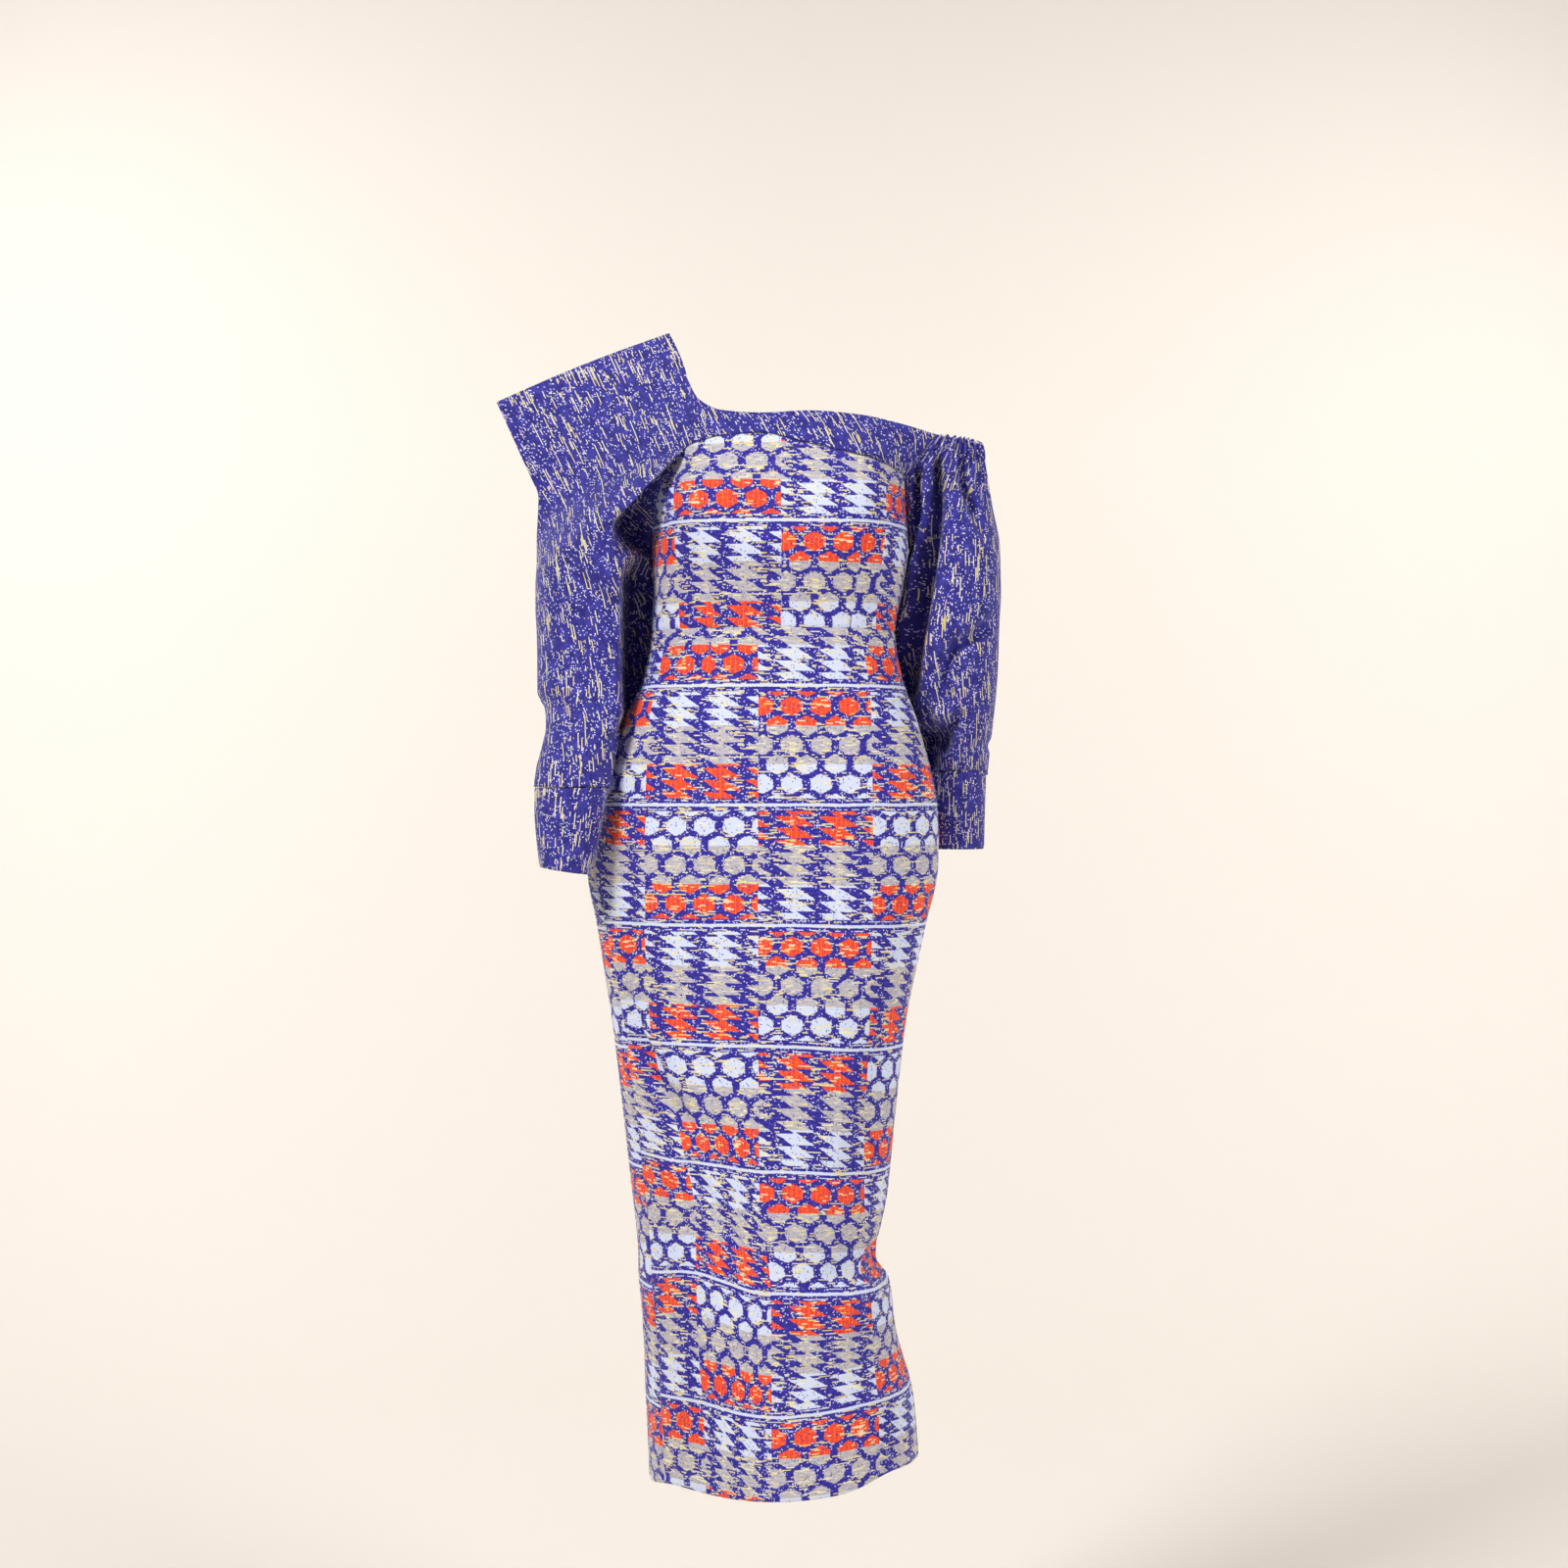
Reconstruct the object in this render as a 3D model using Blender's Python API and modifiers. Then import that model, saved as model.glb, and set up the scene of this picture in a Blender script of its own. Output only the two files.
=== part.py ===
# One-shoulder dress in its worn form, in metres, +Z up, its front towards -Y.
# The origin is the point of the right shoulder seam that rests on the wearer.
# A turn is an angle round the body in degrees: 0 at the front, 90 at the wearer's left
# side, which is +X, and -90 at the wearer's right side. A height is a level above the origin.

import bmesh
import bpy
import numpy as np

WALL = 0.0015            # thickness of every cloth wall
SEAM = 0.0006            # gap between two pieces along a seam that crosses the body
SIDE_SEAM = 0.0009       # gap along an upright seam, where the walls turn towards each other
WELD = 0.00001           # points closer than this are one point
CENTRE_X = 0.142         # the body's centre line, from the shoulder point
ROUNDNESS = 2.3          # 2 would make the body's sections plain ellipses
WAIST = -0.314           # the waist seam
BUST_TURN = 35.0         # where each bust form lies
BUST_HEIGHT = -0.188
BUST_RISE = 0.013
BUST_SPREAD_TURN = 20.0
BUST_SPREAD_HEIGHT = 0.045
UNDERARM = -0.224
WING_CORNER_TURN = -49.0     # where the shoulder wing leaves the bodice
BAND_END_TURN = 75.0         # where the neck band meets the left sleeve
BACK_BAND_DEPTH = 1.06       # the band's back stands this much further out than its front
GATHERS = 24                 # small pleats round the elastic of the left sleeve
GATHER_DEPTH = 0.0018
GATHERS_END = -0.200         # the small pleats have died out at this height
SLEEVE_HEAD_DROP = 0.005     # the elastic dips this much on the outer arm
LEFT_OPEN_TURN = 79.0        # how much of the ring is open, each side, at the elastic
LEFT_EASE = 0.24             # share of the sleeve's round that is eased into the armhole
WING_CURVE = 1.25            # above 1, the wing stays flat at its outer edge
FOLD_EDGE = 0.0013           # half the thickness of the wing's outer edge
SHOULDER_BOW = 0.003         # the shoulder seam is this much fuller than a straight line
RECESS = 0.020               # how far the cloth turns back under the wing's free edge
RECESS_PLACE = 0.6           # where it turns back, from the free edge to the armhole
RECESS_ROOM = 0.050          # a narrower gap than this gets a shallower recess
BAND_EASE_TURN = 40.0        # the wing's bulge has died out this far along the neck band
PLEAT_START = 1 / 20         # share of the ring over which the small pleats set in
CREASE_START = 0.035         # height under the casing over which the creases set in

# How many faces each piece has across and down.
BODICE_ROWS = 9
BAND_STEPS_RIGHT = 5         # from the wing's corner to the centre front
BAND_STEPS_LEFT = 7          # from the centre front to the left sleeve
BAND_ROWS = 2
ARMHOLE_STEPS = 4
SKIRT_FRONT_STEPS = 20
SKIRT_BACK_STEPS = 11
WING_STEPS = 10
UNDERARM_STEPS = 3
HEAD_ROWS = 3
SLEEVE_TOP_ROWS = 2
SLEEVE_ROWS = 11
CUFF_STEPS = 24


def table(names, *rows):
    """Return a dictionary with one array for each named column."""
    return dict(zip(names.split(), np.array(rows, float).T))


# The body's level sections: how far the middle is to the wearer's left of the centre
# line, half the width, and the depths in front of and behind the middle.
SECTIONS = table(
    "height shift half_width front back",
    (-1.216, 0.0010, 0.1445, 0.146, 0.098),
    (-1.130, -0.0045, 0.1430, 0.142, 0.094),
    (-1.057, -0.0155, 0.1350, 0.139, 0.090),
    (-1.005, -0.0212, 0.1336, 0.137, 0.088),
    (-0.983, -0.0285, 0.1270, 0.134, 0.088),
    (-0.906, -0.0257, 0.1370, 0.127, 0.094),
    (-0.822, -0.0263, 0.1460, 0.121, 0.100),
    (-0.728, -0.0263, 0.1575, 0.117, 0.107),
    (-0.628, -0.0242, 0.1754, 0.112, 0.120),
    (-0.565, -0.0226, 0.1874, 0.109, 0.128),
    (-0.497, -0.0173, 0.1810, 0.109, 0.128),
    (-0.413, -0.0147, 0.1586, 0.103, 0.110),
    (-0.360, -0.0120, 0.1380, 0.097, 0.096),
    (-0.314, -0.0115, 0.1305, 0.096, 0.090),
    (-0.266, -0.0060, 0.1334, 0.108, 0.094),
    (-0.224, -0.0040, 0.1370, 0.119, 0.100),
    (-0.182, -0.0050, 0.1355, 0.119, 0.104),
    (-0.129, 0.0000, 0.1300, 0.107, 0.102),
    (-0.078, 0.0000, 0.1220, 0.088, 0.095),
    (-0.040, 0.0000, 0.1120, 0.074, 0.086),
)

# The top edge of the bodice: the right armhole, the seam under the band, the left armhole.
BODICE_TOP = table(
    "turn height",
    (-90, UNDERARM), (-80, -0.200), (-74, -0.180), (-65, -0.155), (-58, -0.137),
    (-49, -0.125), (-37, -0.119), (-25, -0.115), (-7, -0.114), (7, -0.124),
    (25, -0.133), (45, -0.140), (62, -0.147), (75, -0.152), (80, -0.176),
    (85, -0.201), (90, UNDERARM),
)

# The lower edge of the skirt.
HEM = table(
    "turn height",
    (-180, -1.203), (-90, -1.214), (-45, -1.198), (-5, -1.203), (20, -1.198), (50, -1.184),
    (75, -1.187), (100, -1.198), (180, -1.203),
)

# The turns of the skirt's side seams and of its centre back seam, which all twist a
# little to the wearer's left on their way down.
SKIRT_SEAMS = table(
    "height right left back",
    (-1.220, -58, 97, 194),
    (-0.900, -59, 97, 193),
    (-0.560, -70, 95, 189),
    (-0.314, -80, 92, 185),
)

# The largest folds of the body's cloth, each a trough between two points; side is -1 on
# the front and 1 on the back.
BODY_FOLDS = table(
    "side start_x start_height end_x end_height depth reach",
    (-1, -0.024, -0.559, -0.010, -0.724, 0.006, 0.013),
    (-1, -0.014, -0.743, 0.042, -0.821, 0.007, 0.011),
    (-1, 0.042, -0.821, 0.142, -0.994, 0.004, 0.020),
    (-1, 0.256, -0.982, 0.200, -0.972, 0.005, 0.012),
    (-1, 0.256, -0.720, 0.215, -0.880, 0.003, 0.016),
    (1, 0.020, -0.665, 0.110, -0.705, 0.005, 0.016),
    (1, 0.250, -0.650, 0.170, -0.720, 0.005, 0.015),
    (1, 0.040, -0.930, 0.150, -0.985, 0.007, 0.014),
    (1, 0.220, -0.960, 0.130, -1.030, 0.006, 0.015),
    (1, 0.060, -0.335, 0.225, -0.345, 0.003, 0.014),
)

# The right sleeve with the shoulder wing, in rows from the shoulder seam to the cuff.
# The outer edge is the seam between front and back. The crest is the wing's free edge
# down to row 8, and the forward-most line of the sleeve below it. The inner edge is the
# right armhole from row 4 to row 9, and the underarm seam below it.
YOKE = table(
    "outer_x outer_height crest_x crest_front crest_back crest_height inner_x inner_height",
    (-0.166, -0.067, 0.019, 0.000, 0.000, 0.007, 0.019, 0.007),
    (-0.153, -0.095, 0.030, -0.022, 0.022, -0.017, 0.030, -0.017),
    (-0.140, -0.124, 0.040, -0.046, 0.046, -0.049, 0.040, -0.049),
    (-0.129, -0.148, 0.044, -0.066, 0.064, -0.087, 0.044, -0.087),
    (-0.121, -0.169, 0.041, -0.073, 0.072, -0.125, 0.041, -0.125),
    (-0.122, -0.193, 0.024, -0.088, 0.083, -0.143, 0.028, -0.137),
    (-0.123, -0.217, 0.008, -0.092, 0.086, -0.160, 0.016, -0.155),
    (-0.123, -0.240, -0.013, -0.090, 0.084, -0.183, 0.008, -0.178),
    (-0.124, -0.263, -0.036, -0.082, 0.079, -0.207, 0.003, -0.203),
    (-0.124, -0.276, -0.037, -0.080, 0.077, -0.226, 0.001, -0.224),
    (-0.124, -0.290, -0.038, -0.077, 0.074, -0.248, -0.002, -0.246),
    (-0.123, -0.308, -0.040, -0.073, 0.070, -0.277, -0.003, -0.272),
    (-0.122, -0.331, -0.046, -0.071, 0.062, -0.315, -0.004, -0.308),
    (-0.121, -0.356, -0.052, -0.070, 0.052, -0.349, -0.010, -0.342),
    (-0.120, -0.378, -0.056, -0.072, 0.040, -0.378, -0.019, -0.374),
    (-0.111, -0.397, -0.058, -0.077, 0.026, -0.398, -0.027, -0.397),
    (-0.109, -0.416, -0.060, -0.084, 0.010, -0.418, -0.033, -0.417),
    (-0.112, -0.437, -0.064, -0.092, -0.005, -0.438, -0.034, -0.438),
    (-0.117, -0.459, -0.069, -0.100, -0.020, -0.461, -0.036, -0.460),
    (-0.119, -0.479, -0.073, -0.105, -0.030, -0.479, -0.038, -0.479),
)
NECK_ROW = 2         # the neck band leaves the wing at this row
CORNER_ROW = 4       # the wing's free edge starts here, at the bodice
WING_END_ROW = 8     # the free edge has run into the sleeve here
UNDERARM_ROW = 9

# How far forward the right arm's seams lie: the forearm comes forward.
RIGHT_ARM = table(
    "height forward",
    (-0.479, -0.068), (-0.459, -0.062), (-0.437, -0.053), (-0.397, -0.031),
    (-0.356, -0.012), (-0.310, 0.0), (-0.200, 0.0), (0.0, 0.0),
)

# The upper edge of the neck band, over turns of its lower edge.
BAND_TOP = table(
    "turn x forward height",
    (-49, 0.040, -0.046, -0.049),
    (-37, 0.052, -0.062, -0.072),
    (-25, 0.076, -0.079, -0.087),
    (-7, 0.122, -0.093, -0.092),
    (7, 0.166, -0.094, -0.090),
    (25, 0.213, -0.086, -0.092),
    (45, 0.257, -0.068, -0.098),
    (75, 0.302, -0.046, -0.108),
)

# The left sleeve's rings; the cuff's are in their own table.
LEFT_ARM = table(
    "height centre_x half_width forward half_depth",
    (-0.461, 0.3330, 0.0316, 0.050, 0.040),
    (-0.449, 0.3317, 0.0337, 0.046, 0.044),
    (-0.412, 0.3287, 0.0399, 0.034, 0.052),
    (-0.370, 0.3236, 0.0482, 0.022, 0.057),
    (-0.328, 0.3193, 0.0538, 0.014, 0.060),
    (-0.307, 0.3199, 0.0535, 0.010, 0.060),
    (-0.266, 0.3245, 0.0500, 0.003, 0.059),
    (-0.224, 0.3246, 0.0486, 0.000, 0.058),
    (-0.182, 0.3195, 0.0462, 0.000, 0.057),
    (-0.161, 0.3163, 0.0451, 0.000, 0.056),
    (-0.130, 0.3121, 0.0436, 0.000, 0.052),
    (-0.108, 0.3100, 0.0420, 0.000, 0.047),
)
CASING_TOP = -0.108
CASING_FOOT = -0.125
LEFT_SLEEVE_FOOT = -0.461

# The cuffs' rings, from the sleeve's foot to the open end.
RIGHT_CUFF = table(
    "height centre_x half_width forward half_depth",
    (-0.4802, -0.0785, 0.0405, -0.0680, 0.037),
    (-0.4850, -0.0795, 0.0384, -0.0695, 0.036),
    (-0.5070, -0.0815, 0.0362, -0.0740, 0.034),
    (-0.5380, -0.0835, 0.0315, -0.0790, 0.030),
    (-0.5660, -0.0855, 0.0261, -0.0820, 0.027),
)
LEFT_CUFF = table(
    "height centre_x half_width forward half_depth",
    (-0.4617, 0.3327, 0.0316, 0.0500, 0.040),
    (-0.4670, 0.3310, 0.0316, 0.0510, 0.039),
    (-0.5060, 0.3310, 0.0309, 0.0560, 0.035),
    (-0.5470, 0.3311, 0.0301, 0.0600, 0.032),
)
CUFF_TILT = 0.004        # the open end of the right cuff drops this much on the inside

# The sleeves' largest creases; side is -1 on the front and 1 on the back.
RIGHT_CREASES = table(
    "side start_x start_height end_x end_height depth reach",
    (-1, -0.126, -0.386, -0.089, -0.392, 0.006, 0.010),
    (-1, -0.079, -0.450, -0.049, -0.484, 0.004, 0.010),
    (-1, -0.070, -0.255, -0.022, -0.290, 0.004, 0.010),
    (1, -0.126, -0.386, -0.075, -0.396, 0.006, 0.010),
    (1, -0.100, -0.300, -0.060, -0.345, 0.004, 0.012),
)
LEFT_CREASES = table(
    "side start_x start_height end_x end_height depth reach",
    (-1, 0.303, -0.140, 0.303, -0.182, 0.010, 0.009),
    (-1, 0.301, -0.196, 0.292, -0.232, 0.006, 0.009),
    (-1, 0.328, -0.145, 0.340, -0.192, 0.005, 0.009),
    (-1, 0.354, -0.307, 0.315, -0.333, 0.008, 0.009),
    (-1, 0.310, -0.342, 0.307, -0.380, 0.006, 0.009),
    (-1, 0.297, -0.400, 0.323, -0.416, 0.005, 0.008),
    (1, 0.306, -0.140, 0.308, -0.200, 0.008, 0.009),
    (1, 0.338, -0.140, 0.345, -0.185, 0.005, 0.009),
    (1, 0.352, -0.325, 0.310, -0.345, 0.007, 0.010),
)

# Red, green, blue and roughness of the two cloths.
CLOTHS = table(
    "red green blue roughness",
    (0.36, 0.28, 0.42, 0.80),
    (0.065, 0.045, 0.43, 0.72),
)


def curve(at, rows, key, column):
    """Read a smooth curve through two columns, which never swings past their values."""
    order = np.argsort(rows[key])
    xs = rows[key][order]
    ys = rows[column][order]
    at = np.clip(at, xs[0], xs[-1])
    steps = np.diff(xs)
    slopes = np.diff(ys) / steps
    ahead, behind = slopes[1:], slopes[:-1]
    turning = ahead * behind <= 0
    weight = 3 * (steps[1:] + steps[:-1])
    parts = (2 * steps[1:] + steps[:-1]) / np.where(turning, 1, behind)
    parts = parts + (steps[1:] + 2 * steps[:-1]) / np.where(turning, 1, ahead)
    inner = np.where(turning, 0, weight / np.where(turning, 1, parts))
    tangents = np.concatenate(([slopes[0]], inner, [slopes[-1]]))
    index = np.clip(np.searchsorted(xs, at, side="right") - 1, 0, len(steps) - 1)
    step = steps[index]
    part = (at - xs[index]) / step
    start, end = ys[index], ys[index + 1]
    rise = end - start
    first = step * tangents[index]
    last = step * tangents[index + 1]
    cubic = first + last - 2 * rise
    square = 3 * rise - 2 * first - last
    return start + part * (first + part * (square + part * cubic))


def fade(value, start, end):
    """Return 0 at start and 1 at end, with a soft change between them."""
    part = np.clip((value - start) / (end - start), 0, 1)
    return part * part * (3 - 2 * part)


def dent(folds, x, forward, height):
    """Return how deep the troughs of a table of folds are at a point."""
    depth = np.zeros(np.broadcast(x, forward, height).shape)
    for row in range(len(folds["side"])):
        fold = {name: column[row] for name, column in folds.items()}
        along_x = fold["end_x"] - fold["start_x"]
        along_height = fold["end_height"] - fold["start_height"]
        length = along_x**2 + along_height**2
        part = (x - fold["start_x"]) * along_x + (height - fold["start_height"]) * along_height
        part = np.clip(part / length, 0, 1)
        off_x = x - fold["start_x"] - part * along_x
        off_height = height - fold["start_height"] - part * along_height
        near = np.exp(-(off_x**2 + off_height**2) / fold["reach"] ** 2)
        depth = depth + fold["depth"] * near * (forward * fold["side"] > 0)
    return depth


def torso(turn, height, out=0.0):
    """Return points of the dress's body, out metres off its outer face."""
    turn, height = np.broadcast_arrays(np.asarray(turn, float), np.asarray(height, float))
    turn = (turn + 180) % 360 - 180
    angle = np.radians(turn)
    across = np.sign(np.sin(angle)) * np.abs(np.sin(angle)) ** (2 / ROUNDNESS)
    ahead = np.sign(np.cos(angle)) * np.abs(np.cos(angle)) ** (2 / ROUNDNESS)
    middle = CENTRE_X + curve(height, SECTIONS, "height", "shift")
    half_width = curve(height, SECTIONS, "height", "half_width")
    front = curve(height, SECTIONS, "height", "front")
    back = curve(height, SECTIONS, "height", "back")
    depth = np.where(ahead > 0, front, back)
    x = middle + half_width * across
    forward = -depth * ahead
    level = ((height - BUST_HEIGHT) / BUST_SPREAD_HEIGHT) ** 2
    for side in (-1, 1):
        aside = ((turn - side * BUST_TURN) / BUST_SPREAD_TURN) ** 2
        out = out + BUST_RISE * np.exp(-aside - level)
    out = out - dent(BODY_FOLDS, x, forward, height)
    facing_x = across / half_width
    facing_forward = -ahead / depth
    size = np.hypot(facing_x, facing_forward)
    return np.stack((x + out * facing_x / size, forward + out * facing_forward / size, height), -1)


def front_turn(turn):
    """Return the front turn that faces a turn, whether that one is in front or behind."""
    return np.where(turn > 90, 180 - turn, np.where(turn < -90, -180 - turn, turn))


def bodice_top(turn):
    """Return the height of the bodice's top edge."""
    return curve(front_turn(turn), BODICE_TOP, "turn", "height")


def bodice_edge(turn):
    """Return the points that a piece sewn to the bodice's top edge starts from."""
    return torso(turn, bodice_top(turn) + SEAM, SEAM)


def shortened(grid, last_row=0.0, columns=0.0):
    """Return a grid of points whose last row and outer columns are drawn in by some lengths."""
    grid = grid.copy()
    upright = np.swapaxes(grid, 0, 1)
    for points, edge, inside, length in (
        (grid, -1, -2, last_row), (upright, 0, 1, columns), (upright, -1, -2, columns),
    ):
        step = points[inside] - points[edge]
        points[edge] += step * (length / np.linalg.norm(step, axis=-1, keepdims=True))
    return grid


def bodice_panel(turns, rows):
    """Return a grid with a column at each turn, from the top edge to the waist."""
    down = np.linspace(0, 1, rows + 1)[:, None]
    grid = torso(turns, bodice_top(turns) + (WAIST - bodice_top(turns)) * down)
    return shortened(grid, SEAM / 2, SIDE_SEAM / 2)


def skirt_panel(first, last, columns):
    """Return a grid between two seams, with two rows for each section below the waist."""
    part = np.linspace(0, 1, columns + 1)
    levels = SECTIONS["height"][SECTIONS["height"] <= WAIST][::-1]
    levels = np.interp(np.arange(2 * len(levels) - 1) / 2, np.arange(len(levels)), levels)
    down = ((WAIST - levels) / (WAIST - levels[-1]))[:, None]
    height = np.full((len(levels), columns + 1), WAIST)
    for _ in range(3):
        start = curve(height, SKIRT_SEAMS, "height", first)
        end = curve(height, SKIRT_SEAMS, "height", last)
        start = np.where(start > end, start - 360, start)
        turn = start + (end - start) * part
        around = np.where(turn < -180, turn + 360, turn)
        height = WAIST + (curve(around, HEM, "turn", "height") - WAIST) * down
    return shortened(torso(turn, height)[::-1], SEAM / 2, SIDE_SEAM / 2)[::-1]


def yoke_row(rows, side):
    """Return the named sizes of the wing and sleeve at some rows, on the front or back."""
    number = {"row": np.arange(len(YOKE["outer_x"]), dtype=float)}
    size = {name: curve(rows, number | YOKE, "row", name) for name in YOKE}
    size["crest_forward"] = size["crest_front"] if side < 0 else size["crest_back"]
    size["tube"] = fade(rows, CORNER_ROW - 1, WING_END_ROW)
    size["free"] = 1 - fade(rows, WING_END_ROW - 1, UNDERARM_ROW + 1)
    return size


def wing_grid(rows, part, side):
    """Return the wing and the outer half of the right sleeve, from outer edge to crest."""
    rows, part = np.broadcast_arrays(rows[:, None], part[None, :])
    size = yoke_row(rows, side)
    edge = FOLD_EDGE + (SEAM / 2 - FOLD_EDGE) * size["tube"]
    outer_forward = curve(size["outer_height"], RIGHT_ARM, "height", "forward") + side * edge
    angle = part * np.pi / 2
    across = part + (1 - np.cos(angle) - part) * size["tube"]
    ahead = part**WING_CURVE + (np.sin(angle) - part**WING_CURVE) * size["tube"]
    crest_forward = size["crest_forward"] + side * edge * (1 - fade(rows, 0, 1))
    x = size["outer_x"] + (size["crest_x"] - size["outer_x"]) * across
    height = size["outer_height"] + (size["crest_height"] - size["outer_height"]) * across
    height = height + SHOULDER_BOW * np.sin(np.pi * part) * (1 - fade(rows, 0, CORNER_ROW))
    forward = outer_forward + (crest_forward - outer_forward) * ahead
    forward = forward - side * dent(RIGHT_CREASES, x, forward * 0 + side, height)
    return np.stack((x, forward, height), -1)


def armhole_turn(height, right=True):
    """Return the turn of the right or left armhole's edge at a height."""
    corner = list(BODICE_TOP["turn"]).index(WING_CORNER_TURN if right else BAND_END_TURN)
    part = slice(0, corner + 1) if right else slice(corner, None)
    armhole = {name: column[part] for name, column in BODICE_TOP.items()}
    return curve(height, armhole, "height", "turn")


def underarm_grid(rows, part, side, crest):
    """Return the inner half of the right sleeve, from its crest to armhole or underarm seam."""
    rows, part = np.broadcast_arrays(rows[:, None], part[None, :])
    size = yoke_row(rows, side)
    turn = armhole_turn(size["inner_height"])
    armhole = torso(turn if side < 0 else -180 - turn, size["inner_height"] + SEAM, SEAM)
    seam_forward = curve(size["inner_height"], RIGHT_ARM, "height", "forward") + side * SEAM / 2
    seam = np.stack((size["inner_x"], seam_forward, size["inner_height"]), -1)
    inner = np.where((rows <= UNDERARM_ROW)[..., None], armhole, seam)
    inner[rows == UNDERARM_ROW, 1] += side * SEAM / 2
    crest = crest[:, None, :]
    angle = part * np.pi / 2
    across = np.sin(angle)
    ahead = 1 - np.cos(angle)
    x = crest[..., 0] + (inner[..., 0] - crest[..., 0]) * across
    forward = crest[..., 1] + (inner[..., 1] - crest[..., 1]) * ahead
    height = crest[..., 2] + (inner[..., 2] - crest[..., 2]) * across
    tube = np.stack((x, forward, height), -1)
    under = crest + (inner - crest) * RECESS_PLACE
    room = np.abs(inner[..., 1] - crest[..., 1]) / RECESS_ROOM
    under[..., 0] -= RECESS * np.minimum(room, 1) * fade(rows, CORNER_ROW + 1, CORNER_ROW + 3)
    part = part[..., None]
    turned_back = (1 - part) ** 2 * crest + 2 * part * (1 - part) * under + part**2 * inner
    return tube + (turned_back - tube) * size["free"][..., None]


def band_grid(turns, part, side, crest):
    """Return the neck band, whose first column is the wing's edge from neck to corner."""
    top = np.stack([curve(turns, BAND_TOP, "turn", name) for name in ("x", "forward", "height")], -1)
    low_turn = turns if side < 0 else np.where(turns < 0, -180 - turns, 180 - turns)
    if side > 0:
        top[:, 1] *= -BACK_BAND_DEPTH
    low = bodice_edge(low_turn)
    top[0], low[0] = crest[0], crest[-1]
    part = part[:, None, None]
    grid = top[None] + (low[None] - top[None]) * part
    bulge = crest[:, None, :] - grid[:, :1]
    near = 1 - fade(turns, turns[0], turns[0] + BAND_EASE_TURN)
    return grid + bulge * near[None, :, None]


def band_end_top(side):
    """Return the upper corner of the neck band's end at the left sleeve."""
    end = np.array([BAND_TOP[name][-1] for name in ("x", "forward", "height")])
    return end * (1, 1 if side < 0 else -BACK_BAND_DEPTH, 1)


def seam_cut(mesh, side):
    """Trim a front or back piece to the plane of the seam that joins it to the other."""
    for vertex in mesh.vertices:
        plane = float(curve(vertex.co.z, RIGHT_ARM, "height", "forward"))
        gap = vertex.co.y * side - plane * side
        if gap < SEAM / 2 and vertex.co.x < CENTRE_X:
            vertex.co.y = plane + side * SEAM / 2


def left_ring(part, height, table_rows=LEFT_ARM, opening=0.0):
    """Return points round the left arm, starting at its inner side and going by the front."""
    middle = curve(height, table_rows, "height", "centre_x")
    half_width = curve(height, table_rows, "height", "half_width")
    forward = curve(height, table_rows, "height", "forward")
    half_depth = curve(height, table_rows, "height", "half_depth")
    angle = np.radians(opening + (360 - 2 * opening) * part)
    x = middle - half_width * np.cos(angle)
    y = forward - half_depth * np.sin(angle)
    facing = np.stack((-np.cos(angle), -np.sin(angle)), -1)
    return x, y, facing


def left_edge(height, side):
    """Return the left sleeve's edge, along the band's end and then the left armhole."""
    turn = armhole_turn(height, right=False)
    armhole = bodice_edge(turn if side < 0 else 180 - turn)
    armhole[..., 2] = height
    corner = bodice_edge(BAND_END_TURN if side < 0 else 180 - BAND_END_TURN)
    up = np.clip((height - corner[2]) / (BAND_TOP["height"][-1] - corner[2]), 0, 1)[..., None]
    end = corner + (band_end_top(side) - corner) * up
    return np.where(up > 0, end + (SEAM, 0, 0), armhole)


def left_sleeve_grid(heights, columns):
    """Return rings of the left sleeve, open towards the body above the underarm."""
    part, level = np.meshgrid(np.linspace(0, 1, columns + 1), heights)
    opening = LEFT_OPEN_TURN * fade(level, UNDERARM, CASING_TOP)
    x, y, facing = left_ring(part, level, opening=opening)
    first_x, first_y, _ = left_ring(part * 0, level, opening=opening)
    last_x, last_y, _ = left_ring(part * 0 + 1, level, opening=opening)
    open_above = level >= UNDERARM
    for side, edge_x, edge_y, near in ((-1, first_x, first_y, part), (1, last_x, last_y, 1 - part)):
        edge = left_edge(level, side)
        ease = (1 - fade(near, 0, LEFT_EASE)) * open_above
        x = x + (edge[..., 0] - edge_x) * ease
        y = y + (edge[..., 1] - edge_y) * ease
    wave = np.cos(2 * np.pi * GATHERS * part) * np.clip(np.minimum(part, 1 - part) / PLEAT_START, 0, 1)
    push = wave * GATHER_DEPTH * fade(level, GATHERS_END, CASING_FOOT)
    push = push - dent(LEFT_CREASES, x, y, level) * fade(level, CASING_FOOT, CASING_FOOT - CREASE_START)
    drop = SLEEVE_HEAD_DROP * np.sin(np.pi * part) * fade(level, GATHERS_END, CASING_TOP)
    return np.stack((x + push * facing[..., 0], y + push * facing[..., 1], level - drop), -1)


def cuff_grid(rows, columns, tilt=0.0):
    """Return the rings of a cuff, from the sleeve down."""
    part, level = np.meshgrid(np.linspace(0, 1, columns + 1), rows["height"])
    x, y, _ = left_ring(part, level, rows)
    down = fade(level, rows["height"][0], rows["height"][-1])
    middle = curve(level, rows, "height", "centre_x")
    half_width = curve(level, rows, "height", "half_width")
    return np.stack((x, y, level - tilt * down * (x - middle) / half_width), -1)


def cloth(name, row):
    """Return a plain material with one cloth's mean colour."""
    material = bpy.data.materials.new(name)
    material.use_nodes = True
    shader = material.node_tree.nodes["Principled BSDF"]
    colour = [CLOTHS[name][row] for name in ("red", "green", "blue")]
    shader.inputs["Base Color"].default_value = (*colour, 1)
    shader.inputs["Roughness"].default_value = CLOTHS["roughness"][row]
    return material


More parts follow.
